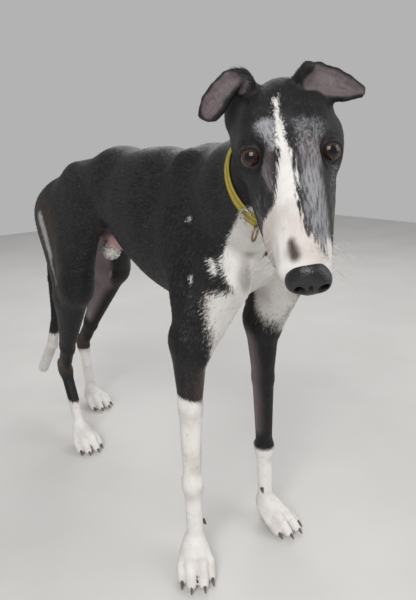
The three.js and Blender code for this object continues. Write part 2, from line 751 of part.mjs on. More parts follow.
function ballAt(centre, radius, wide, high) {
  const g = new THREE.SphereGeometry(radius, wide, high);
  g.translate(...centre);
  return solidOf(g);
}

const noseFlesh = placed(nose, headFrame);
const NOSE_BOX = around([outOf(headFrame, NOSE_CENTRE)], [36, 36, 36]);
const NOSE_CELL = [6.6, 6.6, 6.6];
const NOSE_SEAT = 0.035; // how much wider the seat in the head is than the nose
const noseNet = net(noseFlesh, ...NOSE_BOX, NOSE_CELL, 0);
const noseMiddle = outOf(headFrame, NOSE_CENTRE);
const seat = noseNet.points.map((p) => plus(p, times(minus(p, noseMiddle), NOSE_SEAT)));
skull = skull.subtract(solidFrom({ points: seat, faces: noseNet.faces }));
let noseSolid = solidFrom(noseNet);
for (const s of SIDES) {
  const at = outOf(headFrame, [163, NOSE_CENTRE[1] + s * 8.5, -8]);
  noseSolid = noseSolid.subtract(ballAt(at, 3.8, 8, 6));
}
addNode("nose", noseSolid, "leather");

// Lids stand round each eye as an oval ring
const LID = { wide: 11.2, high: 10.4, thick: 2.3, out: 5.8 };
for (const s of SIDES) {
  const side = s < 0 ? "right" : "left";
  const centre = outOf(headFrame, eyeAt(s));
  const out = turnOut(headFrame, gaze(s));
  const ring = new THREE.TorusGeometry(1, LID.thick / LID.wide, 5, 14);
  ring.scale(LID.wide, LID.high, LID.thick * 4);
  const lidFrame = new THREE.Matrix4().makeBasis(
    new THREE.Vector3(...unit(cross(headFrame.axes[2], out))),
    new THREE.Vector3(...cross(out, unit(cross(headFrame.axes[2], out)))),
    new THREE.Vector3(...out),
  );
  ring.applyMatrix4(lidFrame);
  ring.translate(...plus(centre, times(out, LID.out)));
  skull = skull.add(solidOf(ring));
  skull = skull.subtract(ballAt(centre, EYE_RADIUS + GAP, 10, 8));
  addNode(`eye_${side}`, ballAt(centre, EYE_RADIUS, 10, 8), "eye");
}

// The line of the mouth: a groove along the lips, from corner to corner under the nose
const MOUTH = [[52, 34, -36], [90, 27, -33], [122, 21, -30], [140, 9, -29]];
function ontoSkin(p) {
  let q = outOf(headFrame, p);
  for (let i = 0; i < 6; i += 1) q = settle(flesh, q, COAT, [30, 30, 30]);
  return q;
}
const lips = [
  ...MOUTH.map(([x, y, z]) => ontoSkin([x, -y, z])),
  ...[...MOUTH].reverse().map((p) => ontoSkin(p)),
];
const groove = new THREE.Shape();
groove.absellipse(0, 0, 1.7, 1.7, 0, 2 * Math.PI);
const lipLine = new THREE.CatmullRomCurve3(lips.map((p) => new THREE.Vector3(...p)));
const mouth = new THREE.ExtrudeGeometry(groove, { steps: 20, curveSegments: 3, extrudePath: lipLine });
skull = skull.subtract(solidOf(mouth));
addNode("head", skull, "coat");

SIDE_NAMES.forEach((side, i) => {
  const low = side === "right" ? [380, -260, 690] : [401, -131, 691];
  const high = plus(low, [140, 140, 150]);
  const made = solidFrom(net(earFlesh[i], low, high, [5.3, 5.3, 5.3], COAT));
  addNode(`ear_${side}`, made.subtract(grown), "coat");
});

// The collar hugs the neck: a band round its surface, with a buckle and a ring
const COLLAR = { wide: 15, thick: 2.8, clear: 0.6, steps: 26 };
const collarWay = unit([0.72, -0.25, 0.62]);
const collarSide = unit(cross([0, 0, 1], collarWay));
const collarUp = cross(collarWay, collarSide);

// The spot on the neck at an angle round the collar, and the way out there
function neckEdge(angle, along) {
  const way = plus(times(collarSide, Math.cos(angle)), times(collarUp, Math.sin(angle)));
  const start = plus(COLLAR_CENTRE, times(collarWay, along));
  let r = 30;
  for (let i = 0; i < 20; i += 1) r -= depth(flesh, plus(start, times(way, r))) - COAT;
  return { way, at: plus(start, times(way, r)) };
}

// The band's section: across the strap, and out from the neck, with a raised line on each side
const SECTION = [[-0.5, 0], [-0.5, 0.7], [-0.3, 1], [0, 0.6], [0.3, 1], [0.5, 0.7], [0.5, 0]];
function band(grow) {
  const points = [];
  const faces = [];
  const n = SECTION.length;
  for (let i = 0; i < COLLAR.steps; i += 1) {
    const angle = turn((360 * i) / COLLAR.steps);
    for (const [along, out] of SECTION) {
      const edge = neckEdge(angle, along * (COLLAR.wide + 2 * grow));
      const high = COLLAR.clear + out * (COLLAR.thick + 2 * grow) - grow;
      points.push(plus(edge.at, times(edge.way, high)));
    }
    const next = ((i + 1) % COLLAR.steps) * n;
    for (let k = 0; k < n; k += 1) {
      const m = (k + 1) % n;
      faces.push(i * n + k, next + k, next + m, i * n + k, next + m, i * n + m);
    }
  }
  return solidFrom({ points, faces });
}
addNode("collar", band(0), "strap");

// Neck
let neckPiece = piece(flesh, [170, -200, 500], [500, 110, 800], [26, 26, 26], [
  flip(NECK_PLANE),
  HEAD_PLANE,
]);
neckPiece = neckPiece.subtract(band(GAP));
for (const s of SIDES) neckPiece = neckPiece.subtract(between(armPlanes(s), HALF_GAP));
addNode("neck", neckPiece, "coat");

// The angle round the collar of a point near it
function angleOf(p) {
  const from = minus(p, COLLAR_CENTRE);
  return Math.atan2(dot(from, collarUp), dot(from, collarSide));
}

// A basis on the collar: along the strap, across it and out
function collarBasis(angle) {
  const { way, at } = neckEdge(angle, 0);
  const basis = new THREE.Matrix4().makeBasis(
    new THREE.Vector3(...cross(collarWay, way)),
    new THREE.Vector3(...collarWay),
    new THREE.Vector3(...way),
  );
  return basis.setPosition(...at);
}

// The buckle: a plate with room for the strap, over the band
const BUCKLE = { long: 14, wide: 20, thick: 3, near: [412, -116, 628] };
const buckle = new THREE.BoxGeometry(BUCKLE.long, BUCKLE.wide, BUCKLE.thick * 3);
buckle.translate(0, 0, COLLAR.clear + COLLAR.thick - BUCKLE.thick * 0.5);
buckle.applyMatrix4(collarBasis(angleOf(BUCKLE.near)));
const bare = solidFrom(net(flesh, [300, -200, 540], [500, 60, 800], [14, 14, 14], COAT + 1.2));
addNode("collar_buckle", solidOf(buckle).subtract(band(GAP)).subtract(bare), "metal");

// The ring hangs from the collar, nearly edge on to the dog's side
const RING = { wide: 8, high: 10, thick: 1.5, drop: 3, near: [436, -122, 612] };
const ringDown = unit([-0.15, -0.12, -0.97]);
const ringAcross = unit(cross(ringDown, [0.86, 0.46, 0.1]));
const ringEdge = neckEdge(angleOf(RING.near), 0);
const ringTop = COLLAR.clear + COLLAR.thick + RING.thick + RING.drop;
const ringCentre = plus(
  ringEdge.at,
  plus(times(ringEdge.way, ringTop), times(ringDown, RING.high)),
);
const ring = new THREE.TorusGeometry(1, RING.thick / RING.wide, 5, 14);
ring.scale(RING.wide, RING.high, RING.wide);
const ringBasis = new THREE.Matrix4().makeBasis(
  new THREE.Vector3(...ringAcross),
  new THREE.Vector3(...ringDown),
  new THREE.Vector3(...cross(ringAcross, ringDown)),
);
ring.applyMatrix4(ringBasis.setPosition(...ringCentre));
addNode("collar_ring", solidOf(ring), "metal");

export default root;
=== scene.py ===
# A standing greyhound, life size, built over its fixed frame.
# X is the dog's heading, Y its left side and Z is up. The anatomy is in millimetres,
# with the soles at Z = 0, and turns into metres where a mesh is made.
import math

import bpy
import numpy as np
from mathutils import Matrix, Vector


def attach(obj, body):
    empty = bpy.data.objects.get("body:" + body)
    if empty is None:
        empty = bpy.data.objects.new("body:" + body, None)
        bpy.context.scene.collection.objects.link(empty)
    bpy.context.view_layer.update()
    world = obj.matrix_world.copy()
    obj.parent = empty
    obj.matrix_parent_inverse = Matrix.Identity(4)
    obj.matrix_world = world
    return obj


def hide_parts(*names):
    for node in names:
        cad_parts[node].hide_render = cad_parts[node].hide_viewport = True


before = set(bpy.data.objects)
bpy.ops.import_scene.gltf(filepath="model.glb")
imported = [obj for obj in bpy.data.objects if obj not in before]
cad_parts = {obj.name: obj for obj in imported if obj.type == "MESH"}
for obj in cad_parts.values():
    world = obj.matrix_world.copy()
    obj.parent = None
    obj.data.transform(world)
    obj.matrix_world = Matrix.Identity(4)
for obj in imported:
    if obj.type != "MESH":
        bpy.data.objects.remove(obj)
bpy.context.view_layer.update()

MM = 0.001
STAND = (44.5, -52)  # where the middle of the dog's box lies on the floor
SIDES = [-1, 1]  # right, left
SIDE_NAMES = ["right", "left"]


# Vectors as plain lists
def plus(a, b):
    return [x + y for x, y in zip(a, b)]


def minus(a, b):
    return [x - y for x, y in zip(a, b)]


def times(a, s):
    return [x * s for x in a]


def dot(a, b):
    return sum(x * y for x, y in zip(a, b))


def mix(a, b, t):
    return plus(times(a, 1 - t), times(b, t))


def length(a):
    return math.sqrt(dot(a, a))


def unit(a):
    return times(a, 1 / length(a))


def cross(a, b):
    return [
        a[1] * b[2] - a[2] * b[1],
        a[2] * b[0] - a[0] * b[2],
        a[0] * b[1] - a[1] * b[0],
    ]


# A mass is one rounded form of flesh. Its blend is how far it melts into the masses before it.
def bone(a, b, ra, rb, blend=12, flat=1, side=(0, 1, 0)):
    shape = {"bone": True, "a": a, "b": b, "ra": ra, "rb": rb, "flat": flat, "side": unit(side)}
    return {**shape, "blend": blend, "dent": False}


def ball(c, r, blend=12, along=(1, 0, 0), side=(0, 1, 0)):
    x = unit(along)
    z = unit(cross(x, side))
    return {"bone": False, "c": c, "r": r, "axes": [x, cross(z, x), z], "blend": blend, "dent": False}


def dent(mass):
    return {**mass, "dent": True}


# The stance: heights of joints over the floor, and the middle between the forelegs
FORE_MIDDLE = 12
ELBOW_HEIGHT = 408
WRIST_HEIGHT = 150
KNUCKLE_HEIGHT = 36

trunk = [
    ball([108, 4, 582], [160, 88, 118], 0, [0.97, 0, -0.24]),
    ball([208, 7, 572], [112, 72, 114], 36),
    bone([190, 8, 464], [84, 4, 510], 40, 38, 32, 0.7),
    ball([280, 11, 556], [54, 50, 54], 30),
    bone([82, 2, 644], [-60, 0, 653], 58, 54, 40, 1.1),
    bone([-60, 0, 653], [-205, 0, 632], 54, 54, 36, 1.15),
    bone([15, 0, 592], [-125, 0, 611], 66, 56, 44, 0.95),
    ball([-262, 0, 590], [120, 66, 68], 38, [0.9, 0, 0.44]),
    ball([205, 4, 664], [78, 32, 46], 30),
]
for s in SIDES:
    trunk.append(ball([-182, s * 42, 664], [26, 14, 18], 16))

NECK_BASE = [236, 4, 612]
NECK_MIDDLE = [322, -30, 642]
COLLAR_CENTRE = [405, -60, 665]
NECK_TOP = [446, -88, 717]
neck = [
    bone(NECK_BASE, NECK_MIDDLE, 88, 74, 44, 0.74, [0.25, 0.97, 0]),
    bone(NECK_MIDDLE, COLLAR_CENTRE, 74, 62, 26, 0.8, [0.38, 0.92, 0]),
    bone(COLLAR_CENTRE, NECK_TOP, 62, 52, 20, 0.84, [0.45, 0.89, 0]),
]


# One foreleg, with its shoulder, down to the knuckles
def foreleg(s, wrist, elbow, knuckle):
    middle = FORE_MIDDLE
    point = [302, middle + s * 66, 518]
    forearm = mix(elbow, wrist, 0.42)
    return [
        bone([205, middle + s * 52, 670], [296, middle + s * 72, 530], 34, 44, 28, 0.6),
        bone([206, middle + s * 68, 596], plus(elbow, [-4, 0, 26]), 46, 27, 22, 0.6),
        bone(point, plus(elbow, [8, s * -3, 4]), 40, 36, 22, 0.8),
        ball(plus(elbow, [-16, 0, 12]), [18, 14, 20], 12),
        bone(elbow, forearm, 33, 21, 16, 0.85),
        bone(forearm, wrist, 21, 15.5, 8, 0.9),
        ball(plus(wrist, [2, 0, 2]), [17, 17, 22], 10),
        ball(plus(wrist, [-17, 0, 2]), [8, 9, 10], 6),
        bone(wrist, knuckle, 14.5, 14.5, 10, 1),
    ]


# One hind leg from the hip down to the knuckles
def hindleg(s, hip, stifle, hock, knuckle):
    heel = plus(hock, [-17, 0, 14])
    calf = mix(stifle, hock, 0.14)
    shin = mix(stifle, hock, 0.7)
    return [
        bone(plus(hip, [-12, s * 2, -36]), plus(stifle, [2, -s * 3, 22]), 80, 52, 34, 0.46),
        bone(plus(hip, [-64, 0, -36]), plus(calf, [-48, s * -6, 10]), 53, 40, 30, 0.58),
        bone(plus(hip, [104, 4 * s, 0]), plus(stifle, [18, 0, 30]), 70, 40, 36, 0.45),
        bone(plus(hip, [170, 0, 42]), plus(stifle, [52, -s * 8, 92]), 32, 24, 28, 0.35),
        ball(plus(stifle, [22, 0, 8]), [24, 22, 30], 16),
        bone(stifle, shin, 42, 18, 20, 0.74),
        bone(shin, hock, 18, 14, 10, 0.8),
        bone(plus(calf, [-38, 0, -4]), mix(stifle, heel, 0.7), 36, 13, 20, 0.66),
        bone(mix(stifle, heel, 0.64), heel, 9, 8, 12),
        ball(hock, [19, 15, 24], 12, unit(minus(hock, stifle))),
        ball(heel, [11, 10, 13], 9),
        bone(hock, knuckle, 15, 14, 10, 0.9),
    ]


# One paw, in its own frame: X to the toes, the floor at Z = 0
def paw(spread):
    made = [
        bone([4, 0, 38], [26, 0, 31], 17, 15, 0, 1.2),
        ball([14, 0, 10], [20, 20, 12], 10),
    ]
    for s in SIDES:
        mid = s * spread * 0.5
        out = s * spread * 1.18
        made += [
            bone([18, mid, 32], [50, mid, 27], 10.5, 9.5, 7),
            bone([50, mid, 27], [75, mid * 1.05, 10], 9.5, 8.5, 3),
            bone([10, out * 0.65, 28], [38, out, 21], 10, 9, 7),
            bone([38, out, 21], [60, out * 1.06, 9], 9, 8, 3),
            ball([66, mid, 5], [11, 7.5, 7], 3),
            ball([51, out, 5], [11, 7.5, 7], 3),
        ]
    return made


# Each leg: the paw's heel on the floor, its heading in degrees, and the wrist or hock over it
PAW_SPREAD = 20
legs = {
    "fore_right": {"s": -1, "heel": [232, -77, 0], "heading": -33, "joint": [233, -76, WRIST_HEIGHT]},
    "fore_left": {"s": 1, "heel": [231, 99, 0], "heading": 0, "joint": [229, 100, WRIST_HEIGHT]},
    "hind_right": {"s": -1, "heel": [-276, -51, 0], "heading": -5, "joint": [-333, -50, 176]},
    "hind_left": {"s": 1, "heel": [-462, 72, 0], "heading": 1, "joint": [-478, 70, 172]},
}
dewclaws = {
    "fore_right": [240, -62, 76],
    "fore_left": [238, 86, 72],
}
elbows = {
    "fore_right": [236, -75, ELBOW_HEIGHT],
    "fore_left": [232, 91, ELBOW_HEIGHT],
}
hips = {"hind_right": [-266, -44, 598], "hind_left": [-266, 44, 598]}
stifles = {"hind_right": [-176, -74, 424], "hind_left": [-310, 96, 420]}


# Where the claws of a middle and an outer toe start, in the paw's own frame, and how far they turn out
def claw_roots(s):
    return [
        [[72, s * PAW_SPREAD * 0.53, 13], 1],
        [[58, s * PAW_SPREAD * 1.25, 12], 2],
    ]


def knuckle_of(leg):
    return plus(leg["heel"], [6, 0, KNUCKLE_HEIGHT])


# The tail from its root to its tip, and the sheath
tail = [
    bone([-356, 0, 618], [-394, -6, 570], 27, 20, 30, 0.9),
    bone([-394, -6, 570], [-410, -18, 500], 20, 15, 10),
    bone([-410, -18, 500], [-402, -30, 400], 15, 12, 8),
    bone([-402, -30, 400], [-398, -34, 300], 12, 11, 6),
    bone([-398, -34, 300], [-440, -35, 212], 11, 13, 6),
    bone([-440, -35, 212], [-518, -37, 122], 13, 13, 8),
]

groin = [
    bone([-150, -4, 544], [-44, -5, 521], 19, 14, 14),
    ball([-110, -14, 506], [20, 18, 19], 6),
]

# The head, in its own frame: the origin between the eyes, X to the nose, Y to the dog's left
HEAD_ORIGIN = [512.5, -145, 700.5]
HEAD_TURN = {"yaw": -41, "dip": 35.5, "roll": 3.8}
EYE = [-3, 37, -2]
EYE_RADIUS = 12
head = [
    ball([-46, 0, -9], [58, 43, 34.5], 0),
    ball([-6, 0, 0], [46, 29, 27], 18),
    ball([-92, 0, -9], [22, 20, 21], 18),
    ball([-73, -3, 2], [32, 32, 28], 20),
    ball([-84, -45, -6], [22, 20, 24], 16),
    bone([10, 0, -5], [134, 1, -9], 32, 20, 22, 0.9),
    bone([24, 0, 6], [142, 1, -2], 19, 11, 14),
    bone([-48, 0, -40], [60, 0, -38], 24, 15, 22, 1.2),
    bone([60, 0, -38], [120, 1, -33], 15, 10, 12, 1.3),
]
for s in SIDES:
    head += [
        ball([-52, s * 29, -3], [38, 20, 30], 14),
        ball([-14, s * 38, -19], [60, 13, 18], 14, [1, -0.25 * s, 0]),
        ball([-44, s * 34, -30], [36, 17, 26], 16),
        ball([-16, s * 27, 13], [18, 11, 10], 9),
        ball([-17, s * 41, -4], [21, 9, 14], 10),
        bone([44, s * 19, -20], [138, s * 10 + 1, -14], 16, 12, 10),
        bone([26, s * 24, -30], [108, s * 15, -28], 16, 11, 12),
    ]


def eye_at(s):
    return [EYE[0], s * EYE[1], EYE[2]]


def gaze(s):
    return unit([0.77, s * 0.3, 0.57])


# Each eye looks out of a shallow recess, in the direction of its gaze
RECESS = {"out": 21, "size": [17, 16, 16.5], "blend": 10}
for s in SIDES:
    middle = plus(eye_at(s), times(gaze(s), RECESS["out"]))
    head.append(dent(ball(middle, RECESS["size"], RECESS["blend"])))
NOSE_CENTRE = [150, 2.5, -9]
nose = [
    ball(NOSE_CENTRE, [12.5, 17.5, 14], 0),
    ball([151, 2.5, -1], [9, 12, 8], 6),
    bone([157, 2.5, -12], [150, 2.5, -25], 7, 5, 6),
]
for s in SIDES:
    nose.append(ball([154, 2.5 + s * 10, -10], [9, 8.5, 9], 5))

# An ear is a chain of flat lengths, each with a half width and the way it faces, in a raised rim
EAR_THICK = 0.15
RIM = {"thick": 2.6, "lift": 0.7, "across": 0.86, "thin": 0.8}
RIGHT_FLAP = [0.75, -0.3, 0.65]
LEFT_FLAP = [0.75, 0.1, 0.7]


def link(at, wide, faces):
    return {"at": at, "wide": wide, "faces": faces}


def ear(chain):
    made = []
    for a, b in zip(chain, chain[1:]):
        made.append(bone(a["at"], b["at"], a["wide"], b["wide"], 5, EAR_THICK, a["faces"]))
    for edge in SIDES:
        for a, b in zip(chain[1:], chain[2:]):
            across = unit(cross(a["faces"], minus(b["at"], a["at"])))
            lift = times(unit(a["faces"]), RIM["thick"] * RIM["lift"])
            out = times(across, edge * RIM["across"])
            ends = [plus(e["at"], plus(lift, times(out, e["wide"]))) for e in (a, b)]
            made.append(bone(*ends, RIM["thick"], RIM["thick"] * RIM["thin"], 4))
    return made


ear_roots = {
    "right": [
        bone([-80, -30, 20], [-80, -40, 36], 8, 6, 6),
        bone([-57, -73, 14], [-63, -87, 13], 4.5, 4.5, 3, EAR_THICK, RIGHT_FLAP),
    ],
    "left": [bone([-79, 9, 26], [-76, 22, 46], 7, 5, 6)],
}
ears = {
    "right": [
        link([-76, -38, 12], 17, [0.8, -0.5, 0.3]),
        link([-78, -43, 34], 11, [0.85, -0.4, 0.5]),
        link([-75, -54, 39], 10, RIGHT_FLAP),
        link([-70, -65, 31], 10.5, RIGHT_FLAP),
        link([-65, -74, 21], 11.5, RIGHT_FLAP),
        link([-62, -79, 15], 9, RIGHT_FLAP),
    ],
    "left": [
        link([-76, 26, 14], 17, [0.8, 0.5, 0.3]),
        link([-74, 29, 33], 15.5, [0.85, 0.2, 0.6]),
        link([-67, 46, 30], 14, LEFT_FLAP),
        link([-63, 59, 27], 10, LEFT_FLAP),
        link([-60, 74, 24], 3.5, LEFT_FLAP),
    ],
}


# A frame turned by yaw, dip and roll, as an origin and three axes
def frame_at(origin, yaw, dip=0, roll=0):
    yaw, dip, roll = (math.radians(v) for v in (yaw, dip, roll))
    x = [math.cos(dip) * math.cos(yaw), math.cos(dip) * math.sin(yaw), -math.sin(dip)]
    level = [-math.sin(yaw), math.cos(yaw), 0]
    up = cross(x, level)
    y = plus(times(level, math.cos(roll)), times(up, math.sin(roll)))
    return {"origin": origin, "axes": [x, y, cross(x, y)]}


def turn_out(spot, v):
    x, y, z = spot["axes"]
    return plus(times(x, v[0]), plus(times(y, v[1]), times(z, v[2])))


def out_of(spot, p):
    return plus(spot["origin"], turn_out(spot, p))


def into(spot, points):
    """Points of the dog's frame, in this one"""
    return (points - np.array(spot["origin"])) @ np.array(spot["axes"]).T


def placed(masses, spot):
    made = []
    for m in masses:
        if m["bone"]:
            move = {k: out_of(spot, m[k]) for k in ("a", "b")}
            made.append({**m, **move, "side": turn_out(spot, m["side"])})
        else:
            axes = [turn_out(spot, v) for v in m["axes"]]
            made.append({**m, "c": out_of(spot, m["c"]), "axes": axes})
    return made


head_frame = frame_at(HEAD_ORIGIN, **HEAD_TURN)


def on_head(p):
    return out_of(head_frame, p)


def head_way(v):
    return turn_out(head_frame, v)


def head_masses(*masses):
    return placed(masses, head_frame)


# How far the first mass of a member melts into the body, and the tail's masses into each other
ROOT_BLEND = {"paw": 10, "tail": 26, "skull": 24}
TAIL_BLEND = 4

flesh = [*trunk, *neck]
paw_frames = {}
for name, leg in legs.items():
    knuckle = knuckle_of(leg)
    if name in elbows:
        flesh += foreleg(leg["s"], leg["joint"], elbows[name], knuckle)
    else:
        flesh += hindleg(leg["s"], hips[name], stifles[name], leg["joint"], knuckle)
    paw_frames[name] = frame_at(leg["heel"], leg["heading"])
    toes = placed(paw(PAW_SPREAD), paw_frames[name])
    toes[0]["blend"] = ROOT_BLEND["paw"]
    flesh += toes
flesh += groin
flesh.append({**tail[0], "blend": ROOT_BLEND["tail"]})
flesh += [{**m, "blend": min(m["blend"], TAIL_BLEND)} for m in tail[1:]]
skull = head_masses(*head)
skull[0]["blend"] = ROOT_BLEND["skull"]
flesh += skull
for side in SIDE_NAMES:
    flesh += head_masses(*ear(ears[side]), *ear_roots[side])

FAR = 1e3
TINY = 1e-9
SHORTEST = 1e-6


def from_radii(k0, k1, least):
    """A distance from how many radii out a point is, and how fast that number rises there"""
    return np.where(k1 > TINY, k0 * (k0 - 1) / np.maximum(k1, TINY), -least)


def distance_to(m, p):
    """How far points are from one mass, below nothing inside it"""
    if m["bone"]:
        start = np.array(m["a"], p.dtype)
        way = np.array(m["b"], p.dtype) - start
        q = p - start
        t = np.clip(q @ way / (way @ way), 0, 1)
        q = q - t[:, None] * way
        r = m["ra"] + (m["rb"] - m["ra"]) * t
        s2 = (q @ np.array(m["side"], p.dtype)) ** 2
        w2 = np.maximum(np.einsum("ij,ij->i", q, q) - s2, 0)
        thin = r * m["flat"]
        k0 = np.sqrt(s2 / thin**2 + w2 / r**2)
        k1 = np.sqrt(s2 / thin**4 + w2 / r**4)
        return from_radii(k0, k1, np.minimum(thin, r))
    v = (p - np.array(m["c"], p.dtype)) @ np.array(m["axes"], p.dtype).T
    v = v / np.array(m["r"], p.dtype)
    k0 = np.sqrt(np.einsum("ij,ij->i", v, v))
    v = v / np.array(m["r"], p.dtype)
    k1 = np.sqrt(np.einsum("ij,ij->i", v, v))
    return from_radii(k0, k1, min(m["r"]))


def joined(d, e, m):
    """A distance with one more mass melted in, or taken out"""
    sign = -1 if m["dent"] else 1
    d = sign * d
    if m["blend"]:
        h = np.maximum(m["blend"] - np.abs(d - e), 0) / m["blend"]
        return sign * (np.minimum(d, e) - h * h * m["blend"] / 4)
    return sign * np.minimum(d, e)


def depth(masses, p):
    d = np.full(len(p), FAR, p.dtype)
    for m in masses:
        d = joined(d, distance_to(m, p), m)
    return d


def share_inside(masses, edge, p):
    """1 inside the masses and 0 outside, with a soft edge"""
    return np.clip(0.5 - depth(masses, p) / edge, 0, 1)


# The skin is netted over the flesh: distances on a grid, kept only near the surface.
# A mass or the surface counts in a block when it is nearer than a share of the block and some mm.
BLOCK = 12  # cells along its side
MASS_NEAR = (1.6, 4)
SURFACE_NEAR = (1.5, 8)
WALL = 0.5
CORNERS = [np.array([c & 1, c >> 1 & 1, c >> 2]) for c in range(8)]


def lattice(counts):
    return np.stack(np.meshgrid(*[np.arange(n) for n in counts], indexing="ij"), -1).reshape(-1, 3)


def grid(masses, low, high, cell, clip):
    low = np.array(low, np.float32)
    count = np.ceil((np.array(high) - low) / cell / BLOCK).astype(int)
    spots = lattice(count)
    centres = (low + (spots + 0.5) * BLOCK * cell).astype(np.float32)
    reach = BLOCK * cell * math.sqrt(3) / 2
    apart = np.array([distance_to(m, centres) for m in masses])
    coarse = np.full(len(centres), FAR, np.float32)
    for m, e in zip(masses, apart):
        coarse = joined(coarse, e, m)
    room = np.array([m["blend"] for m in masses]) + MASS_NEAR[0] * reach + MASS_NEAR[1]
    field = np.repeat(coarse.reshape(count), BLOCK, 0).repeat(BLOCK, 1).repeat(BLOCK, 2)
    step = lattice([BLOCK] * 3)
    for b in np.flatnonzero(np.abs(coarse) < SURFACE_NEAR[0] * reach + SURFACE_NEAR[1]):
        points = (low + (spots[b] * BLOCK + step) * cell).astype(np.float32)
        close = [m for m, near in zip(masses, apart[:, b] < room) if near]
        block = tuple(slice(n, n + BLOCK) for n in spots[b] * BLOCK)
        field[block] = depth(close, points).reshape(BLOCK, BLOCK, BLOCK)
    axes = [low[i] + cell * np.arange(field.shape[i], dtype=np.float32) for i in range(3)]
    point, normal = clip
    away = sum(
        (axes[i] - point[i]).reshape([-1 if k == i else 1 for k in range(3)]) * normal[i]
        for i in range(3)
    )
    field = np.maximum(field, away)
    for axis in range(3):
        for edge in (0, -1):
            side = [slice(None)] * 3
            side[axis] = edge
            field[tuple(side)] = np.maximum(field[tuple(side)], WALL)
    return field


def sample(field, low, cell, points):
    """The grid's value at points between its corners"""
    at = (points - low) / cell
    base = np.clip(np.floor(at).astype(int), 0, np.array(field.shape) - 2)
    t = at - base
    total = 0
    for corner in CORNERS:
        weight = np.prod(np.where(corner, t, 1 - t), axis=1)
        total = total + weight * field[tuple((base + corner).T)]
    return total


SLOPE_STEP = 0.6


def slope(field, low, cell, points):
    steps = np.eye(3) * cell * SLOPE_STEP
    pairs = [sample(field, low, cell, points + s) - sample(field, low, cell, points - s) for s in steps]
    return np.stack(pairs, 1) / (2 * SLOPE_STEP * cell)


# Points are pulled onto the surface in a few short steps
PULLS = 2
LONGEST_PULL = 0.4
LEAST_RISE = 0.1


def net(masses, low, high, cell, clip):
    """Points, four-sided faces and normals of the surface"""
    field = grid(masses, low, high, cell, clip)
    low = np.array(low, float)
    inside = field < 0
    shape = np.array(field.shape)
    held = [inside[tuple(slice(o, n - 1 + o) for o, n in zip(c, shape))] for c in CORNERS]
    some = np.logical_or.reduce(held) & ~np.logical_and.reduce(held)
    cells = np.argwhere(some)
    value = [field[tuple((cells + c).T)] for c in CORNERS]
    total = np.zeros((len(cells), 3))
    crossings = np.zeros(len(cells))
    for c in range(8):
        for bit in (1, 2, 4):
            if c & bit:
                continue
            a, b = value[c], value[c | bit]
            hit = (a < 0) != (b < 0)
            t = np.where(hit, a / np.where(hit, a - b, 1), 0)[:, None]
            spot = CORNERS[c] * (1 - t) + CORNERS[c | bit] * t
            total += np.where(hit[:, None], spot, 0)
            crossings += hit
    points = low + (cells + total / crossings[:, None]) * cell
    for _ in range(PULLS):
        rise = slope(field, low, cell, points)
        off = sample(field, low, cell, points) / np.maximum((rise**2).sum(1), LEAST_RISE)
        pull = np.clip(off, -LONGEST_PULL * cell, LONGEST_PULL * cell)
        points = points - pull[:, None] * rise
    number = np.full(shape, -1, np.int32)
    number[tuple(cells.T)] = np.arange(len(cells))
    faces = []
    for axis in range(3):
        u, v = [np.eye(3, dtype=int)[(axis + k) % 3] for k in (1, 2)]
        ahead = np.eye(3, dtype=int)[axis]
        here = inside[tuple(slice(0, n - o) for n, o in zip(shape, ahead))]
        there = inside[tuple(slice(o, n) for n, o in zip(shape, ahead))]
        at = np.argwhere(here != there)
        at = at[(at[:, (axis + 1) % 3] > 0) & (at[:, (axis + 2) % 3] > 0)]
        ring = np.stack([number[tuple((at - o).T)] for o in (u + v, v, 0 * u, u)], 1)
        flip = ~here[tuple(at.T)]
        ring[flip] = ring[flip][:, ::-1]
        faces.append(ring)
    rise = slope(field, low, cell, points)
    normals = rise / np.maximum(np.linalg.norm(rise, axis=1, keepdims=True), SHORTEST)
    return points, np.concatenate(faces), normals


def to_metres(points):
    return (points - np.array([*STAND, 0])) * MM


def add_object(name, data):
    obj = bpy.data.objects.new(name, data)
    bpy.context.scene.collection.objects.link(obj)
    return obj


def new_mesh(name, points, faces):
    """A smooth object from points in the dog's frame and faces of equal size"""
    mesh = bpy.data.meshes.new(name)
    mesh.vertices.add(len(points))
    mesh.vertices.foreach_set("co", to_metres(points).astype(np.float32).ravel())
    mesh.loops.add(faces.size)
    mesh.loops.foreach_set("vertex_index", faces.astype(np.int32).ravel())
    mesh.polygons.add(len(faces))
    mesh.polygons.foreach_set("loop_start", np.arange(0, faces.size, faces.shape[1], dtype=np.int32))
    mesh.update(calc_edges=True)
    mesh.validate()
    mesh.polygons.foreach_set("use_smooth", np.full(len(mesh.polygons), True))
    return add_object(name, mesh)


def set_values(obj, name, values):
    layer = obj.data.attributes.new(name, "FLOAT", "POINT")
    layer.data.foreach_set("value", np.asarray(values, np.float32))


def set_vectors(obj, name, values):
    layer = obj.data.attributes.new(name, "FLOAT_VECTOR", "POINT")
    layer.data.foreach_set("vector", values.astype(np.float32).ravel())


def finish(piece, look, nodes=()):
    """The piece gets its look and its slot, and takes the place of nodes"""
    piece.data.materials.append(look)
    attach(piece, "root")
    if nodes:
        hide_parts(*nodes)


# Fine forms that only the skin has: the rims of the lids, the upper one fuller than the lower
LID = {"wide": 10.4, "high": 9.8, "out": 6.4, "back": 0.9, "blend": 2.4, "steps": 16}
UPPER_LID = 2.3
LOWER_LID = 1.7


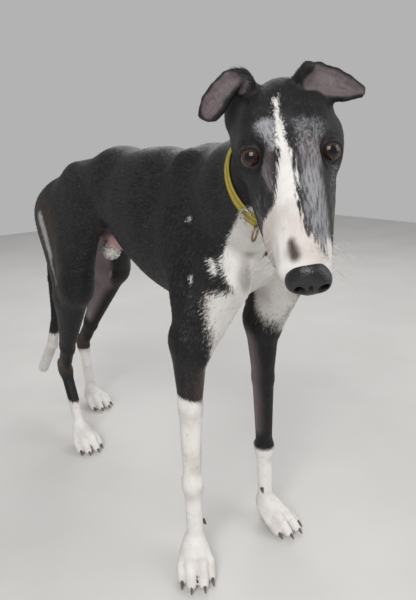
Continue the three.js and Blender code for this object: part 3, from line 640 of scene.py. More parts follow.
def lids(s):
    out = gaze(s)
    across = unit(cross([0, 0, 1], out))
    up = cross(out, across)
    rim = []
    for i in range(LID["steps"]):
        a = 2 * math.pi * i / LID["steps"]
        flat = plus(times(across, LID["wide"] * math.cos(a)), times(up, LID["high"] * math.sin(a)))
        lift = LID["out"] - LID["back"] * math.cos(a) ** 2
        rim.append(plus(eye_at(s), plus(flat, times(out, lift))))
    made = []
    for i, a in enumerate(rim):
        thick = UPPER_LID if i < LID["steps"] / 2 else LOWER_LID
        made.append(bone(a, rim[(i + 1) % len(rim)], thick, thick, LID["blend"]))
    return made


def onto_skin(points, masses):
    """Points moved along the slope of the flesh, onto it"""
    steps = 8
    apart = 0.5
    p = np.array(points, float)
    for _ in range(steps):
        d = depth(masses, p)
        rise = np.stack([depth(masses, p + e) - d for e in np.eye(3) * apart], 1) / apart
        p = p - d[:, None] * rise / np.maximum((rise**2).sum(1), LEAST_RISE)[:, None]
    return p


def along_line(points, steps):
    """Evenly many points on each length of a line"""
    made = []
    for a, b in zip(points, points[1:]):
        made.extend(mix(a, b, i / steps) for i in range(steps))
    return made + [points[-1]]


# The mouth is a thin line cut along both sides of the muzzle and under the nose
MOUTH = [[52, 34, -36], [90, 27, -33], [122, 21, -30], [140, 10, -29]]
MOUTH_CUT = 1.5
mouth_line = along_line([[x, -y, z] for x, y, z in MOUTH] + MOUTH[::-1], 4)
mouth_line = onto_skin([on_head(p) for p in mouth_line], flesh).tolist()
for a, b in zip(mouth_line, mouth_line[1:]):
    flesh.append(dent(bone(a, b, MOUTH_CUT, MOUTH_CUT, MOUTH_CUT)))
lid_rims = []
for s in SIDES:
    lid_rims += head_masses(*lids(s))
flesh += lid_rims

# The skin: the body up to the collar, and the head from there, each netted at its own fineness
COLLAR_WAY = unit([0.72, -0.25, 0.62])
BODY = {"low": (-560, -150, -6), "high": (470, 165, 790), "cell": 3.4, "quick": 5.0}
HEAD = {"low": (340, -270, 560), "high": (650, 20, 815), "cell": 1.4, "quick": 2.0}


def netted(masses, box, clip):
    cell = box["cell"]
    return net(masses, box["low"], box["high"], cell, clip)


body_net = netted(flesh, BODY, (COLLAR_CENTRE, COLLAR_WAY))
body_net[0][:, 2] = np.maximum(body_net[0][:, 2], 0)  # the soles are flat on the floor
head_net = netted(flesh, HEAD, (COLLAR_CENTRE, times(COLLAR_WAY, -1)))

# Markings, as masses: a patch is the part of the coat inside them
blaze = [
    bone([-46, -11, 28], [0, -11, 33], 5.5, 11, 2, 0.3),
    bone([0, -11, 33], [42, -8, 28], 11, 15, 3, 0.3),
    bone([42, -8, 28], [62, -9, 22], 15, 24, 3, 0.3),
    bone([62, -9, 22], [96, -12, 10], 24, 38, 5, 0.3),
    bone([97, -22, -8], [142, -16, -16], 21, 24, 6),
    bone([100, -19, 8], [140, -2, 0], 17, 18, 6),
    ball([148, 1, -12], [22, 27, 20], 6),
    bone([124, 16, -12], [146, 10, -14], 15, 16, 5),
    bone([66, -6, -50], [130, 0, -36], 18, 20, 6),
]
white_zone = [
    bone([425, -105, 610], [345, -20, 545], 34, 58, 5),
    bone([345, -10, 545], [262, 8, 455], 60, 45, 5),
    bone([306, -40, 500], [262, -52, 425], 50, 32, 5),
    bone([310, 60, 540], [260, 92, 430], 48, 30, 5),
    bone([262, 8, 455], [150, 5, 440], 40, 22, 5),
    bone([262, -48, 430], [254, -50, 320], 22, 17, 5),
    bone([233, -78, 296], [252, -86, 0], 32, 90, 5),
    bone([230, 102, 128], [256, 100, 0], 34, 90, 5),
    bone([-333, -50, 92], [-246, -54, 0], 30, 90, 5),
    bone([-472, 72, 138], [-430, 72, 0], 32, 90, 5),
    bone([-440, -35, 212], [-518, -37, 122], 50, 50, 5),
    ball([-110, -14, 505], [21, 19, 17], 3),
    ball([316, -84, 549], [6, 9, 6], 3),
    ball([309, -84, 556], [6, 9, 3], 3),
    ball([320, -82, 542], [3, 9, 6], 3),
    ball([260, -82, 522], [6, 9, 5], 2),
    ball([259, -81, 611], [3, 9, 3], 2),
    *head_masses(*blaze),
]
dark_zone = [ball([352, -6, 570], [17, 15, 15], 3)]


def patch(edge, strength, *masses):
    """Masses that colour the coat inside them, with a soft edge"""
    return masses, edge, strength


def head_patch(edge, strength, *masses):
    return head_masses(*masses), edge, strength


bare_zone = [
    bone([-262, 40, 520], [-320, 62, 400], 40, 32),
    bone([-320, 62, 400], [-410, 62, 280], 28, 13),
    bone([-170, -8, 556], [-92, -6, 540], 22, 20),
    bone([-300, -20, 560], [-330, -8, 600], 20, 16),
]
bare_forearm = [bone([226, 70, 392], [224, 84, 200], 13, 10)]
LIP = 2.6
RIM_EDGE = 0.7
lip_zone = [bone(a, b, LIP, LIP, 2) for a, b in zip(mouth_line, mouth_line[1:])]
rim_zone = [{**m, "ra": m["ra"] + RIM_EDGE, "rb": m["rb"] + RIM_EDGE} for m in lid_rims]
INNER_EAR = {"lift": 3.4, "wide": (0.92, 0.86), "flat": 0.3}


def ear_insides():
    made = []
    for side in SIDE_NAMES:
        chain = ears[side]
        for a, b in zip(chain[1:], chain[2:]):
            lift = times(unit(a["faces"]), INNER_EAR["lift"])
            ends = (plus(a["at"], lift), plus(b["at"], lift))
            widths = (a["wide"] * INNER_EAR["wide"][0], b["wide"] * INNER_EAR["wide"][1])
            made.append(bone(*ends, *widths, 3, INNER_EAR["flat"], a["faces"]))
    return head_masses(*made)


inner_zone = ear_insides()
ZONES = {
    "frost": [
        head_patch(24, 0.72, bone([-16, -23, 26], [20, -16, 26], 13, 8)),
        head_patch(24, 0.5, bone([-6, 18, 30], [60, 16, 20], 20, 22)),
        head_patch(24, 0.62, bone([60, 16, 12], [124, 12, 0], 22, 20)),
        head_patch(14, 0.42, bone([-18, 25, 28], [-13, 42, 20], 5, 5)),
        head_patch(24, 0.42, bone([14, 46, -10], [80, 36, -20], 14, 15)),
        head_patch(30, 0.42, bone([54, -34, -14], [96, -30, -18], 16, 12)),
        head_patch(30, 0.3, bone([10, -44, -22], [60, -38, -24], 14, 14)),
        head_patch(20, 0.52, bone([20, -27, 8], [56, -24, 10], 10, 9)),
        head_patch(30, 0.2, ball([-26, 4, 24], [40, 40, 22])),
        patch(40, 0.3, bone([270, -86, 490], [252, -88, 415], 26, 20)),
        patch(30, 0.3, bone([250, -84, 400], [246, -84, 330], 20, 18)),
        patch(20, 0.82, bone([-296, -86, 570], [-254, -90, 488], 14, 13)),
        patch(18, 0.7, bone([-262, -86, 490], [-238, -90, 425], 10, 5)),
        patch(18, 0.7, bone([-352, 96, 560], [-340, 110, 440], 12, 10)),
        patch(8, 0.8, bone([-262, 82, 452], [-284, 62, 396], 6, 5)),
    ],
    "bare": [patch(26, 1.0, *bare_zone), patch(26, 0.6, *bare_forearm)],
    "cream": [
        head_patch(20, 0.85, bone([84, -27, -10], [136, -19, -24], 14, 13)),
        head_patch(16, 0.5, bone([98, -4, 14], [140, 6, 8], 12, 14)),
        head_patch(12, 0.9, bone([136, -10, 8], [142, 2, 8], 7, 7)),
        patch(20, 0.4, bone([218, -78, 300], [218, -78, 60], 14, 14)),
        patch(20, 0.35, *[ball(plus(leg["heel"], [30, 0, 8]), [50, 40, 18]) for leg in legs.values()]),
    ],
    "pink": [
        head_patch(
            12,
            0.9,
            bone([16, 16, 30], [50, 15, 24], 9, 8),
            bone([20, -24, 20], [48, -24, 10], 8, 8),
            bone([112, -2, 14], [142, 4, 8], 9, 11),
            bone([126, -22, -24], [144, -12, -26], 5, 5),
        )
    ],
    "sheath": [
        patch(6, 1.0, bone([-150, -4, 540], [-44, -5, 517], 21, 17), ball([-122, -10, 524], [16, 16, 10]))
    ],
    "stain": [patch(14, 1.0, ball([-150, -8, 546], [18, 26, 18]))],
    "brown": [
        head_patch(7, 1.0, bone([129, -10, 11], [143, -8, 10], 3.5, 5)),
        head_patch(8, 0.3, bone([112, -24, 0], [136, -18, -6], 2.5, 3)),
        patch(60, 0.6, bone([-286, -80, 560], [-206, -84, 450], 50, 36)),
        patch(24, 0.3, bone([-360, -60, 470], [-300, -60, 250], 16, 12)),
        patch(14, 0.9, bone([252, -68, 388], [250, -68, 330], 16, 16)),
        patch(22, 0.9, ball([-338, -50, 190], [30, 30, 34])),
        patch(22, 0.8, ball([-480, 70, 190], [30, 30, 34])),
        patch(14, 0.6, ball([350, -50, 540], [10, 20, 30])),
        patch(20, 0.5, bone([-230, -92, 423], [-290, -70, 300], 10, 8)),
    ],
    "inner": [patch(2.5, 1.0, *inner_zone)],
    "rim": [patch(1.0, 1.0, *rim_zone, *lip_zone)],
}
DEEPEST_WHITE = 30


def markings(points):
    """What the coat is like at points: how far into the white in mm, and shares of the rest"""
    points = points.astype(np.float32)
    white = np.minimum(-depth(white_zone, points), depth(dark_zone, points))
    made = {"white": np.clip(white, -DEEPEST_WHITE, DEEPEST_WHITE)}
    for name, patches in ZONES.items():
        made[name] = np.zeros(len(points))
        for masses, edge, strength in patches:
            share = share_inside(masses, edge, points)
            made[name] = np.maximum(made[name], share * share * (3 - 2 * share) * strength)
    return made


# The lie of the coat: it follows the lengths near it, each with its reach
def lengths(points, reach):
    return [(a, b, reach) for a, b in zip(points, points[1:])]


lie = [
    *lengths([NECK_TOP, [236, 4, 700], [-60, 0, 690], [-340, 0, 640]], 95),
    *lengths([[300, 0, 600], [-260, 0, 560]], 120),
    *lengths([[430, -90, 640], [350, -25, 560], [290, 0, 440], [100, 0, 460], [-100, 0, 530]], 70),
    *lengths([t["a"] for t in tail] + [tail[-1]["b"]], 24),
]
LEG_TOP_REACH = 60
LEG_REACH = 34
TOE_REACH = 24
EAR_REACH = 15
for name, leg in legs.items():
    s = leg["s"]
    if name in elbows:
        line = [[210, s * 60, 660], elbows[name]]
    else:
        stifle = stifles[name]
        line = [plus(hips[name], [0, s * 20, 30]), plus(stifle, [-40, 0, 20]), mix(stifle, leg["joint"], 0.5)]
    line += [leg["joint"], knuckle_of(leg)]
    lie += lengths(line[:2], LEG_TOP_REACH) + lengths(line[1:], LEG_REACH)
    toe = out_of(paw_frames[name], [70, 0, 5])
    lie += lengths([plus(knuckle_of(leg), [0, 0, 10]), toe], TOE_REACH)
face = [
    *lengths([[150, 0, 6], [60, 0, 20], [-30, 0, 28], [-100, 0, 0]], 30),
    *lengths([[60, 0, -55], [-60, 0, -60]], 40),
]
for s in SIDES:
    face += lengths([[140, s * 20, -20], [60, s * 30, -20], [-60, s * 48, -20], [-110, s * 40, -20]], 30)
    face += lengths([[10, s * 24, 26], [-40, s * 40, 26]], 16)
lie += [(on_head(a), on_head(b), reach) for a, b, reach in face]
for side in SIDE_NAMES:
    lie += lengths([on_head(part["at"]) for part in ears[side]], EAR_REACH)


def lie_at(points, normals):
    total = np.zeros_like(points)
    for a, b, reach in lie:
        a = np.array(a, float)
        way = np.array(b, float) - a
        t = np.clip((points - a) @ way / (way @ way), 0, 1)
        apart = np.linalg.norm(points - a - t[:, None] * way, axis=1) / reach
        total += np.exp(-(apart**2))[:, None] * way / np.linalg.norm(way) + TINY
    flat = total - (total * normals).sum(1, keepdims=True) * normals
    return flat / np.maximum(np.linalg.norm(flat, axis=1, keepdims=True), TINY)


# Places in m pressed together along the lie of the coat, so that a pattern in them runs in streaks
STREAK = 0.8
MIDDLES = {"body": np.array([0, 0, 560.0]), "head": np.array(on_head([20, 0, -20]))}


def set_grain(obj, points, ways, middle):
    apart = points - middle
    set_vectors(obj, "grain", (apart - STREAK * (apart * ways).sum(1, keepdims=True) * ways) * MM)


# How long the hair is, in mm: short all over, longer in some places and shortest on the face.
# Each zone has its edge and its length.
HAIR = 8.0
right_thigh = bone([-350, -50, 560], [-310, -70, 450], 34, 24)
left_thigh = bone([-350, 60, 560], [-320, 90, 450], 34, 24)
hair_zones = [
    patch(30, 8.0, bone([440, -100, 720], [300, -20, 640], 90, 80)),
    patch(20, 11, right_thigh, left_thigh),
    patch(14, 11, *[bone(plus(t["a"], [-14, 0, 0]), t["b"], 26, 26) for t in tail[1:]]),
    patch(14, 13, bone(tail[-1]["a"], tail[-1]["b"], 30, 30)),
    patch(14, 5, *[bone(elbows[n], legs[n]["joint"], 34, 30) for n in elbows]),
    patch(14, 4.5, *[bone(legs[n]["joint"], knuckle_of(legs[n]), 34, 34) for n in legs]),
    patch(10, 3.4, *[ball(plus(leg["heel"], [20, 0, 16]), [80, 60, 40]) for leg in legs.values()]),
    head_patch(30, 4.5, ball([0, 0, 0], [100, 80, 80])),
    head_patch(20, 2.8, bone([30, 0, 0], [150, 0, -10], 50, 36)),
    head_patch(8, 1.9, ball([-66, -70, 24], [34, 32, 36])),
    head_patch(8, 1.9, ball([-68, 52, 34], [36, 44, 34])),
]


def hair_length(points):
    value = np.full(len(points), HAIR)
    for masses, edge, wanted in hair_zones:
        value = value + (wanted - value) * share_inside(masses, edge, points)
    return value


# The place of a root on an unwrap of the skin: a chart for each way it faces, in a grid of three by two
PATCH = 0.003
MARGIN = 0.01
COLUMNS = 3
ROWS = 2


def unwrapped(points, normals):
    axis = np.abs(normals).argmax(1)
    chart = axis * 2 + (np.take_along_axis(normals, axis[:, None], 1)[:, 0] > 0)
    uv = np.zeros((len(points), 2))
    room = np.array([1 / COLUMNS, 1 / ROWS]) - 2 * MARGIN - PATCH
    for c in range(COLUMNS * ROWS):
        mine = chart == c
        if mine.any():
            flat = np.delete(points[mine], c // 2, axis=1)
            low, high = flat.min(0), flat.max(0)
            corner = np.array([c % COLUMNS, c // COLUMNS]) / (COLUMNS, ROWS)
            uv[mine] = corner + MARGIN + (flat - low) / np.maximum(high - low, 1) * room
    return uv


# A tuft is a flat blade of three triangles on the skin. It varies by shares, from the least to the most.
BLADE = np.array([[-1, 0, 0], [1, 0, 0], [-0.8, 0.5, 0.6], [0.8, 0.5, 0.6], [0, 1, 1]])
BLADE_FACES = np.array([[0, 1, 3], [0, 3, 2], [2, 3, 4]])
BLADE_PATCH = np.array([[0, 0], [1, 0], [0, 0.6], [1, 0.6], [0.5, 1]]) * PATCH
SUNK = 0.25
VEER = 0.2
LONG_SHARES = (0.7, 1.25)
LIFT_SHARES = (0.06, 0.16)
WIDE_SHARES = (0.7, 1.2)
HIGHEST = 1.4
THIN_SHARE = 0.6  # of the width, for the shortest hair
RAGGED = 1.6  # how far single tufts stray over the edge of the white, in mm


def coat(name, made, keep, count, width, seed):
    """One piece of coat: blades over the part of a net that `keep` picks"""
    points, faces, normals = made
    rng = np.random.default_rng(seed)
    quads = points[faces]
    area = 0.5 * np.linalg.norm(np.cross(quads[:, 2] - quads[:, 0], quads[:, 3] - quads[:, 1]), axis=1)
    share = np.cumsum(area * keep(quads.mean(1)))
    chosen = np.searchsorted(share, rng.random(count) * share[-1])
    s, t = rng.random((2, count, 1))
    weights = np.stack([(1 - s) * (1 - t), s * (1 - t), s * t, (1 - s) * t], 1)
    roots = (quads[chosen] * weights).sum(1)
    out = (normals[faces][chosen] * weights).sum(1)
    out /= np.maximum(np.linalg.norm(out, axis=1, keepdims=True), SHORTEST)
    way = lie_at(roots, out)
    side = np.cross(way, out)
    veer = rng.normal(0, VEER, (count, 1))
    way, side = way * np.cos(veer) + side * np.sin(veer), side * np.cos(veer) - way * np.sin(veer)
    long = (hair_length(roots) * rng.uniform(*LONG_SHARES, count))[:, None]
    lift = np.minimum(long * rng.uniform(*LIFT_SHARES, (count, 1)), HIGHEST)
    fuller = THIN_SHARE + (1 - THIN_SHARE) * long / HAIR
    wide = width * rng.uniform(*WIDE_SHARES, (count, 1)) * fuller
    blades = []
    for across, forth, rise in BLADE:
        spot = roots + side * across * wide / 2 + way * forth * long + out * (rise * lift - SUNK)
        blades.append(spot)
    each = len(BLADE)
    verts = np.stack(blades, 1).reshape(-1, 3)
    tris = (BLADE_FACES[None] + each * np.arange(count)[:, None, None]).reshape(-1, 3)
    piece = new_mesh(name, verts, tris)
    uv = (unwrapped(roots, out)[:, None] + BLADE_PATCH[None]).reshape(-1, 2)[tris.ravel()]
    layer = piece.data.uv_layers.new(name="OFBake")
    layer.data.foreach_set("uv", uv.astype(np.float32).ravel())
    values = markings(roots)
    values["white"] = values["white"] + rng.normal(0, RAGGED, count)
    values["tone"] = rng.random(count)
    for key, value in values.items():
        set_values(piece, key, np.repeat(value, each))
    middle = MIDDLES["head" if made is head_net else "body"]
    set_grain(piece, np.repeat(roots, each, 0), np.repeat(way, each, 0), middle)
    finish(piece, coat_look)


# A material built from nodes
class Look:
    def __init__(self, name, roughness):
        self.material = bpy.data.materials.new(name)
        self.material.use_nodes = True
        self.tree = self.material.node_tree
        self.shader = self.tree.nodes["Principled BSDF"]
        self.shader.inputs["Roughness"].default_value = roughness
        self.spot = self.node("ShaderNodeTexCoord").outputs["Object"]

    def node(self, kind, inputs=None, **settings):
        made = self.tree.nodes.new(kind)
        for key, value in settings.items():
            setattr(made, key, value)
        for key, value in (inputs or {}).items():
            self.join(made.inputs[key], value)
        return made

    def join(self, socket, value):
        if isinstance(value, bpy.types.NodeSocket):
            self.tree.links.new(value, socket)
        else:
            socket.default_value = value

    def work(self, how, *values):
        return self.node("ShaderNodeMath", dict(enumerate(values)), operation=how).outputs[0]

    def sum(self, a, b):
        return self.work("ADD", a, b)

    def times(self, a, b):
        return self.work("MULTIPLY", a, b)

    def scaled(self, value, low, high, to_low=0.0, to_high=1.0):
        inputs = {"Value": value, "From Min": low, "From Max": high, "To Min": to_low, "To Max": to_high}
        return self.node("ShaderNodeMapRange", inputs, interpolation_type="SMOOTHSTEP").outputs[0]

    def noise(self, scale, detail=2.0, spot=None):
        inputs = {"Vector": spot or self.spot, "Scale": scale, "Detail": detail}
        return self.node("ShaderNodeTexNoise", inputs).outputs["Fac"]

    def value(self, name):
        return self.node("ShaderNodeAttribute", attribute_name=name).outputs["Fac"]

    def vector(self, name):
        return self.node("ShaderNodeAttribute", attribute_name=name).outputs["Vector"]

    def mix(self, share, a, b):
        made = self.node("ShaderNodeMix", data_type="RGBA")
        for socket, wanted in ((0, share), (6, a), (7, b)):
            self.join(made.inputs[socket], (*wanted, 1) if isinstance(wanted, tuple) else wanted)
        return made.outputs[2]

    def ramp(self, value, low, high, a, b):
        return self.mix(self.scaled(value, low, high), a, b)

    def bump(self, height, strength, distance):
        inputs = {"Height": height, "Strength": strength, "Distance": distance}
        self.join(self.shader.inputs["Normal"], self.node("ShaderNodeBump", inputs).outputs[0])

    def set(self, **values):
        for key, value in values.items():
            wanted = (*value, 1) if isinstance(value, tuple) else value
            self.join(self.shader.inputs[key.replace("_", " ")], wanted)


# Black hair, with its brown, bare, grey and blushed places
def dark_hair(look, hair, broad, tone):
    colour = look.ramp(broad, 0.35, 0.7, (0.0068, 0.0068, 0.0078), (0.0135, 0.0118, 0.0118))
    colour = look.mix(look.scaled(tone, 0.5, 1.0), colour, (0.038, 0.035, 0.036))
    brown = look.times(look.value("brown"), look.scaled(hair, 0.25, 0.65))
    colour = look.mix(brown, colour, (0.085, 0.055, 0.04))
    bare = look.ramp(hair, 0.3, 0.7, (0.2, 0.15, 0.16), (0.36, 0.275, 0.285))
    colour = look.mix(look.times(look.value("bare"), 0.9), colour, bare)
    frost = look.value("frost")
    chance = look.sum(look.times(hair, 1.6), look.times(tone, 0.5))
    grey = look.scaled(look.sum(look.times(frost, 1.2), chance), 1.3, 1.9)
    grey = look.times(look.scaled(frost, 0.0, 0.9, 0.0, 0.95), grey)
    colour = look.mix(grey, colour, (0.38, 0.38, 0.4))
    blush = look.ramp(hair, 0.2, 0.8, (0.085, 0.064, 0.068), (0.17, 0.135, 0.14))
    colour = look.mix(look.times(look.value("inner"), 0.9), colour, blush)
    return look.mix(look.times(look.value("pink"), 0.16), colour, (0.36, 0.27, 0.265))


# White hair, with its cream, pink, freckled and brown places
def pale_hair(look, hair, broad, tone):
    colour = look.ramp(broad, 0.4, 0.72, (0.76, 0.74, 0.71), (0.64, 0.6, 0.57))
    colour = look.mix(look.scaled(tone, 0.5, 1.0, 0.0, 0.45), colour, (0.6, 0.57, 0.54))
    cream = look.times(look.value("cream"), look.scaled(hair, 0.2, 0.8, 0.5, 1.0))
    colour = look.mix(cream, colour, (0.42, 0.345, 0.3))
    colour = look.mix(look.times(look.value("pink"), 0.24), colour, (0.5, 0.39, 0.37))
    freckle = look.scaled(look.noise(85.0, 3.0), 0.6, 0.72, 0.0, 0.4)
    colour = look.mix(freckle, colour, (0.44, 0.38, 0.36))
    brown = look.ramp(hair, 0.3, 0.7, (0.03, 0.022, 0.02), (0.13, 0.095, 0.085))
    return look.mix(look.value("brown"), colour, brown)


def coat_material():
    look = Look("coat", 0.5)
    grain = look.vector("grain")
    hair = look.noise(420.0, 3.0, grain)
    broad = look.noise(26.0, 3.0)
    tone = look.value("tone")
    edge = look.sum(look.value("white"), look.scaled(hair, 0.25, 0.75, -2.8, 2.8))
    white = look.scaled(edge, -2.0, 2.0)
    colour = look.mix(white, dark_hair(look, hair, broad, tone), pale_hair(look, hair, broad, tone))
    skin = look.ramp(hair, 0.3, 0.7, (0.5, 0.27, 0.27), (0.62, 0.4, 0.38))
    sheath = look.times(look.value("sheath"), look.work("SUBTRACT", 1.0, white))
    colour = look.mix(sheath, colour, skin)
    colour = look.mix(look.times(look.value("stain"), 0.75), colour, (0.045, 0.012, 0.012))
    rim = look.value("rim")
    look.set(Base_Color=look.mix(rim, colour, (0.012, 0.009, 0.009)), Specular_IOR_Level=0.24)
    rough = look.sum(look.scaled(white, 0.0, 1.0, 0.46, 0.64), look.scaled(broad, 0.3, 0.7, -0.04, 0.05))
    look.set(Roughness=look.sum(rough, look.times(rim, -0.2)))
    fine = look.noise(1100.0, 2.0, grain)
    look.bump(look.sum(fine, look.times(hair, 0.8)), 0.35, 0.0006)
    return look.material


def horn_material():
    look = Look("horn", 0.4)
    streak = look.node("ShaderNodeMapping", {"Vector": look.spot, "Scale": (60.0, 400.0, 400.0)}).outputs[0]
    lines = look.noise(1.0, 4.0, streak)
    colour = look.ramp(lines, 0.3, 0.7, (0.02, 0.015, 0.014), (0.075, 0.055, 0.045))
    look.set(Base_Color=look.mix(look.times(look.value("tip"), 0.5), colour, (0.16, 0.13, 0.11)))
    look.set(Roughness=look.scaled(lines, 0.2, 0.8, 0.3, 0.5), Specular_IOR_Level=0.5)
    look.bump(lines, 0.25, 0.0003)
    return look.material


def leather_material():
    look = Look("nose_leather", 0.34)
    pebble = look.node("ShaderNodeTexVoronoi", {"Vector": look.spot, "Scale": 760.0}).outputs["Distance"]
    broad = look.noise(90.0, 3.0)
    colour = look.ramp(broad, 0.35, 0.7, (0.005, 0.005, 0.006), (0.014, 0.013, 0.015))
    # Painted shade: inside the nostrils the leather is darkened to near black, and made rougher
    nostril_shade = look.value("nostril_shade")
    look.set(Base_Color=look.mix(nostril_shade, colour, (0.001, 0.001, 0.001)))
    look.set(Specular_IOR_Level=0.45, Coat_Weight=0.12, Coat_Roughness=0.25)
    look.set(Roughness=look.sum(look.scaled(broad, 0.3, 0.7, 0.3, 0.46), look.times(nostril_shade, 0.5)))
    look.bump(look.sum(pebble, look.times(broad, 0.6)), 0.55, 0.0006)
    return look.material


def eye_material():
    look = Look("eye", 0.04)
    ring = look.value("ring")
    streaks = look.noise(9.0, 4.0, look.vector("spoke"))
    iris = look.ramp(streaks, 0.35, 0.68, (0.017, 0.006, 0.003), (0.075, 0.028, 0.011))
    iris = look.mix(look.scaled(ring, 14.0, 30.0, 0.55, 0.0), iris, (0.03, 0.012, 0.006))
    colour = look.ramp(ring, 22.0, 24.0, (0.002, 0.002, 0.003), iris)
    colour = look.ramp(ring, 36.0, 43.0, colour, (0.008, 0.005, 0.005))
    white = look.ramp(look.noise(300.0), 0.4, 0.7, (0.2, 0.17, 0.17), (0.25, 0.17, 0.16))
    look.set(Base_Color=look.ramp(ring, 45.0, 50.0, colour, white), Specular_IOR_Level=0.18)
    look.set(Coat_Weight=0.45, Coat_Roughness=0.02)
    look.set(Roughness=look.scaled(streaks, 0.2, 0.8, 0.05, 0.12))
    return look.material


def strap_material():
    look = Look("collar_strap", 0.6)
    threads = look.node("ShaderNodeTexChecker", {"Vector": look.vector("weave"), "Scale": 1.0}).outputs["Fac"]
    wear = look.noise(220.0, 4.0)
    colour = look.mix(threads, (0.33, 0.25, 0.025), (0.42, 0.33, 0.04))
    colour = look.mix(look.scaled(wear, 0.5, 0.75, 0.0, 0.5), colour, (0.2, 0.15, 0.03))
    off_line = look.work("ABSOLUTE", look.sum(look.value("across"), -0.62))
    colour = look.mix(look.scaled(off_line, 0.06, 0.14, 0.8, 0.0), colour, (0.13, 0.1, 0.015))
    look.set(Base_Color=colour, Roughness=look.scaled(wear, 0.3, 0.7, 0.5, 0.68))
    look.bump(look.sum(threads, wear), 0.4, 0.0004)
    return look.material


def metal_material(name, bright, dull, roughness):
    look = Look(name, roughness)
    tarnish = look.noise(260.0, 5.0)
    look.set(Base_Color=look.ramp(tarnish, 0.4, 0.7, bright, dull), Metallic=1.0)
    look.set(Roughness=look.scaled(tarnish, 0.3, 0.7, roughness, roughness + 0.2))
    look.bump(tarnish, 0.12, 0.0002)
    return look.material


def whisker_material():
    look = Look("whisker", 0.4)
    look.set(Base_Color=look.ramp(look.noise(200.0), 0.4, 0.6, (0.62, 0.6, 0.56), (0.4, 0.37, 0.34)))
    return look.material


def floor_material():
    look = Look("floor", 0.6)
    look.set(Base_Color=look.ramp(look.noise(3.0, 4.0), 0.3, 0.7, (0.6, 0.59, 0.57), (0.64, 0.63, 0.61)))
    return look.material


# The skin, in the tone of its middling hairs
SKIN_TONE = 0.35
coat_look = coat_material()


def skin(name, made, nodes):
    points, faces, normals = made
    piece = new_mesh(name, points, faces)
    for key, value in markings(points).items():
        set_values(piece, key, value)
    set_values(piece, "tone", np.full(len(points), SKIN_TONE))
    set_grain(piece, points, lie_at(points, normals), MIDDLES[name.split("_")[1]])
    finish(piece, coat_look, nodes)


head_nodes = ["head", "ear_right", "ear_left"]
other = ["claw", "eye", "nose", "collar"]
body_nodes = [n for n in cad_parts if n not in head_nodes and not any(w in n for w in other)]
skin("skin_body", body_net, body_nodes)
skin("skin_head", head_net, head_nodes)

# The coat's pieces: bounds in the head's frame for the face, and in the dog's frame for the rest
FACE_START = -20
NOSE_START = 143
NECK_START = 190
TRUNK_START = -210
LEG_TOP = 430
HAIR_BOTTOM = 3
LID_ROOM = 0.6
INNER_EAR_ROOM = 0.5
INNER_EAR_SHARE = 0.25
BARE_SHARE = 0.15
BARE_EDGE = 12


def head_part(p):
    off_rims = depth(rim_zone + lip_zone, p) > LID_ROOM
    inner = np.where(depth(inner_zone, p) < INNER_EAR_ROOM, INNER_EAR_SHARE, 1)
    return off_rims * inner * (into(head_frame, p)[:, 0] < NOSE_START)


def face_part(p):
    return head_part(p) * (into(head_frame, p)[:, 0] > FACE_START)


def skull_part(p):
    return head_part(p) * (into(head_frame, p)[:, 0] <= FACE_START)


def neck_part(p):
    return (p[:, 0] > NECK_START) & (p[:, 2] > LEG_TOP)


def trunk_part(p):
    return (p[:, 0] <= NECK_START) & (p[:, 0] > TRUNK_START) & (p[:, 2] > LEG_TOP)


def fore_part(p):
    return (p[:, 2] <= LEG_TOP) & (p[:, 0] > 0)


def hind_part(p):
    return ~neck_part(p) & ~trunk_part(p) & ~fore_part(p)


def haired(part):
    """A part with thinner hair where the skin is bare, and none at the floor"""

    def keep(p):
        bare = share_inside(bare_zone + bare_forearm, BARE_EDGE, p)
        return part(p) * (1 + (BARE_SHARE - 1) * bare) * (p[:, 2] > HAIR_BOTTOM)

    return keep


# Each piece: its net and part, how many tufts, how wide they are and its seed
COATS = [
    ("coat_face", head_net, face_part, 64000, 0.5, 1),
    ("coat_skull", head_net, skull_part, 64000, 0.6, 6),
    ("coat_neck", body_net, neck_part, 64000, 1.0, 2),
    ("coat_trunk", body_net, trunk_part, 64000, 1.15, 3),
    ("coat_fore", body_net, fore_part, 46000, 0.8, 4),
    ("coat_hind", body_net, hind_part, 64000, 1.0, 5),
]
for name, made, part, count, width, seed in COATS:
    coat(name, made, haired(part), count, width, seed)

# A sheet joins points in rows, round each row and from row to row. Where it isn't shut,
# the two points after the rows close its ends. A triangle repeats its last corner.
TURNED_OVER = [0, 3, 2, 1]


def sheet(rows, sides, shut=False):
    faces = []
    for i in range(rows if shut else rows - 1):
        here = i * sides
        after = (i + 1) % rows * sides
        for k in range(sides):
            n = (k + 1) % sides
            faces.append([here + k, here + n, after + n, after + k])
    if not shut:
        first = rows * sides
        end = first - sides
        for k in range(sides):
            n = (k + 1) % sides
            faces.append([n, k, first, first])
            faces.append([end + k, end + n, first + 1, first + 1])
    return np.array(faces)


def tube(points, radii, sides=8, shut=False, seed_side=(0, 0, 1)):
    """A rod along points, with a radius at each"""
    points = np.array(points, float)
    count = len(points)
    if shut:
        ways = np.roll(points, -1, 0) - np.roll(points, 1, 0)
    else:
        ways = np.gradient(points, axis=0)
    ways /= np.linalg.norm(ways, axis=1, keepdims=True)
    side = np.cross(ways, np.array(seed_side, float))
    side /= np.maximum(np.linalg.norm(side, axis=1, keepdims=True), SHORTEST)
    up = np.cross(side, ways)
    turns = 2 * np.pi * np.arange(sides) / sides
    radii = np.broadcast_to(np.array(radii, float), count)[:, None, None]
    ring = np.cos(turns)[None, :, None] * side[:, None] + np.sin(turns)[None, :, None] * up[:, None]
    verts = (points[:, None] + ring * radii).reshape(-1, 3)
    if not shut:
        verts = np.concatenate([verts, points[:1], points[-1:]])
    return verts, sheet(count, sides, shut)


def together(parts):
    """Several (points, faces) as one"""
    points, faces, start = [], [], 0
    for p, f in parts:
        points.append(p)
        faces.append(f + start)
        start += len(p)
    return np.concatenate(points), np.concatenate(faces)


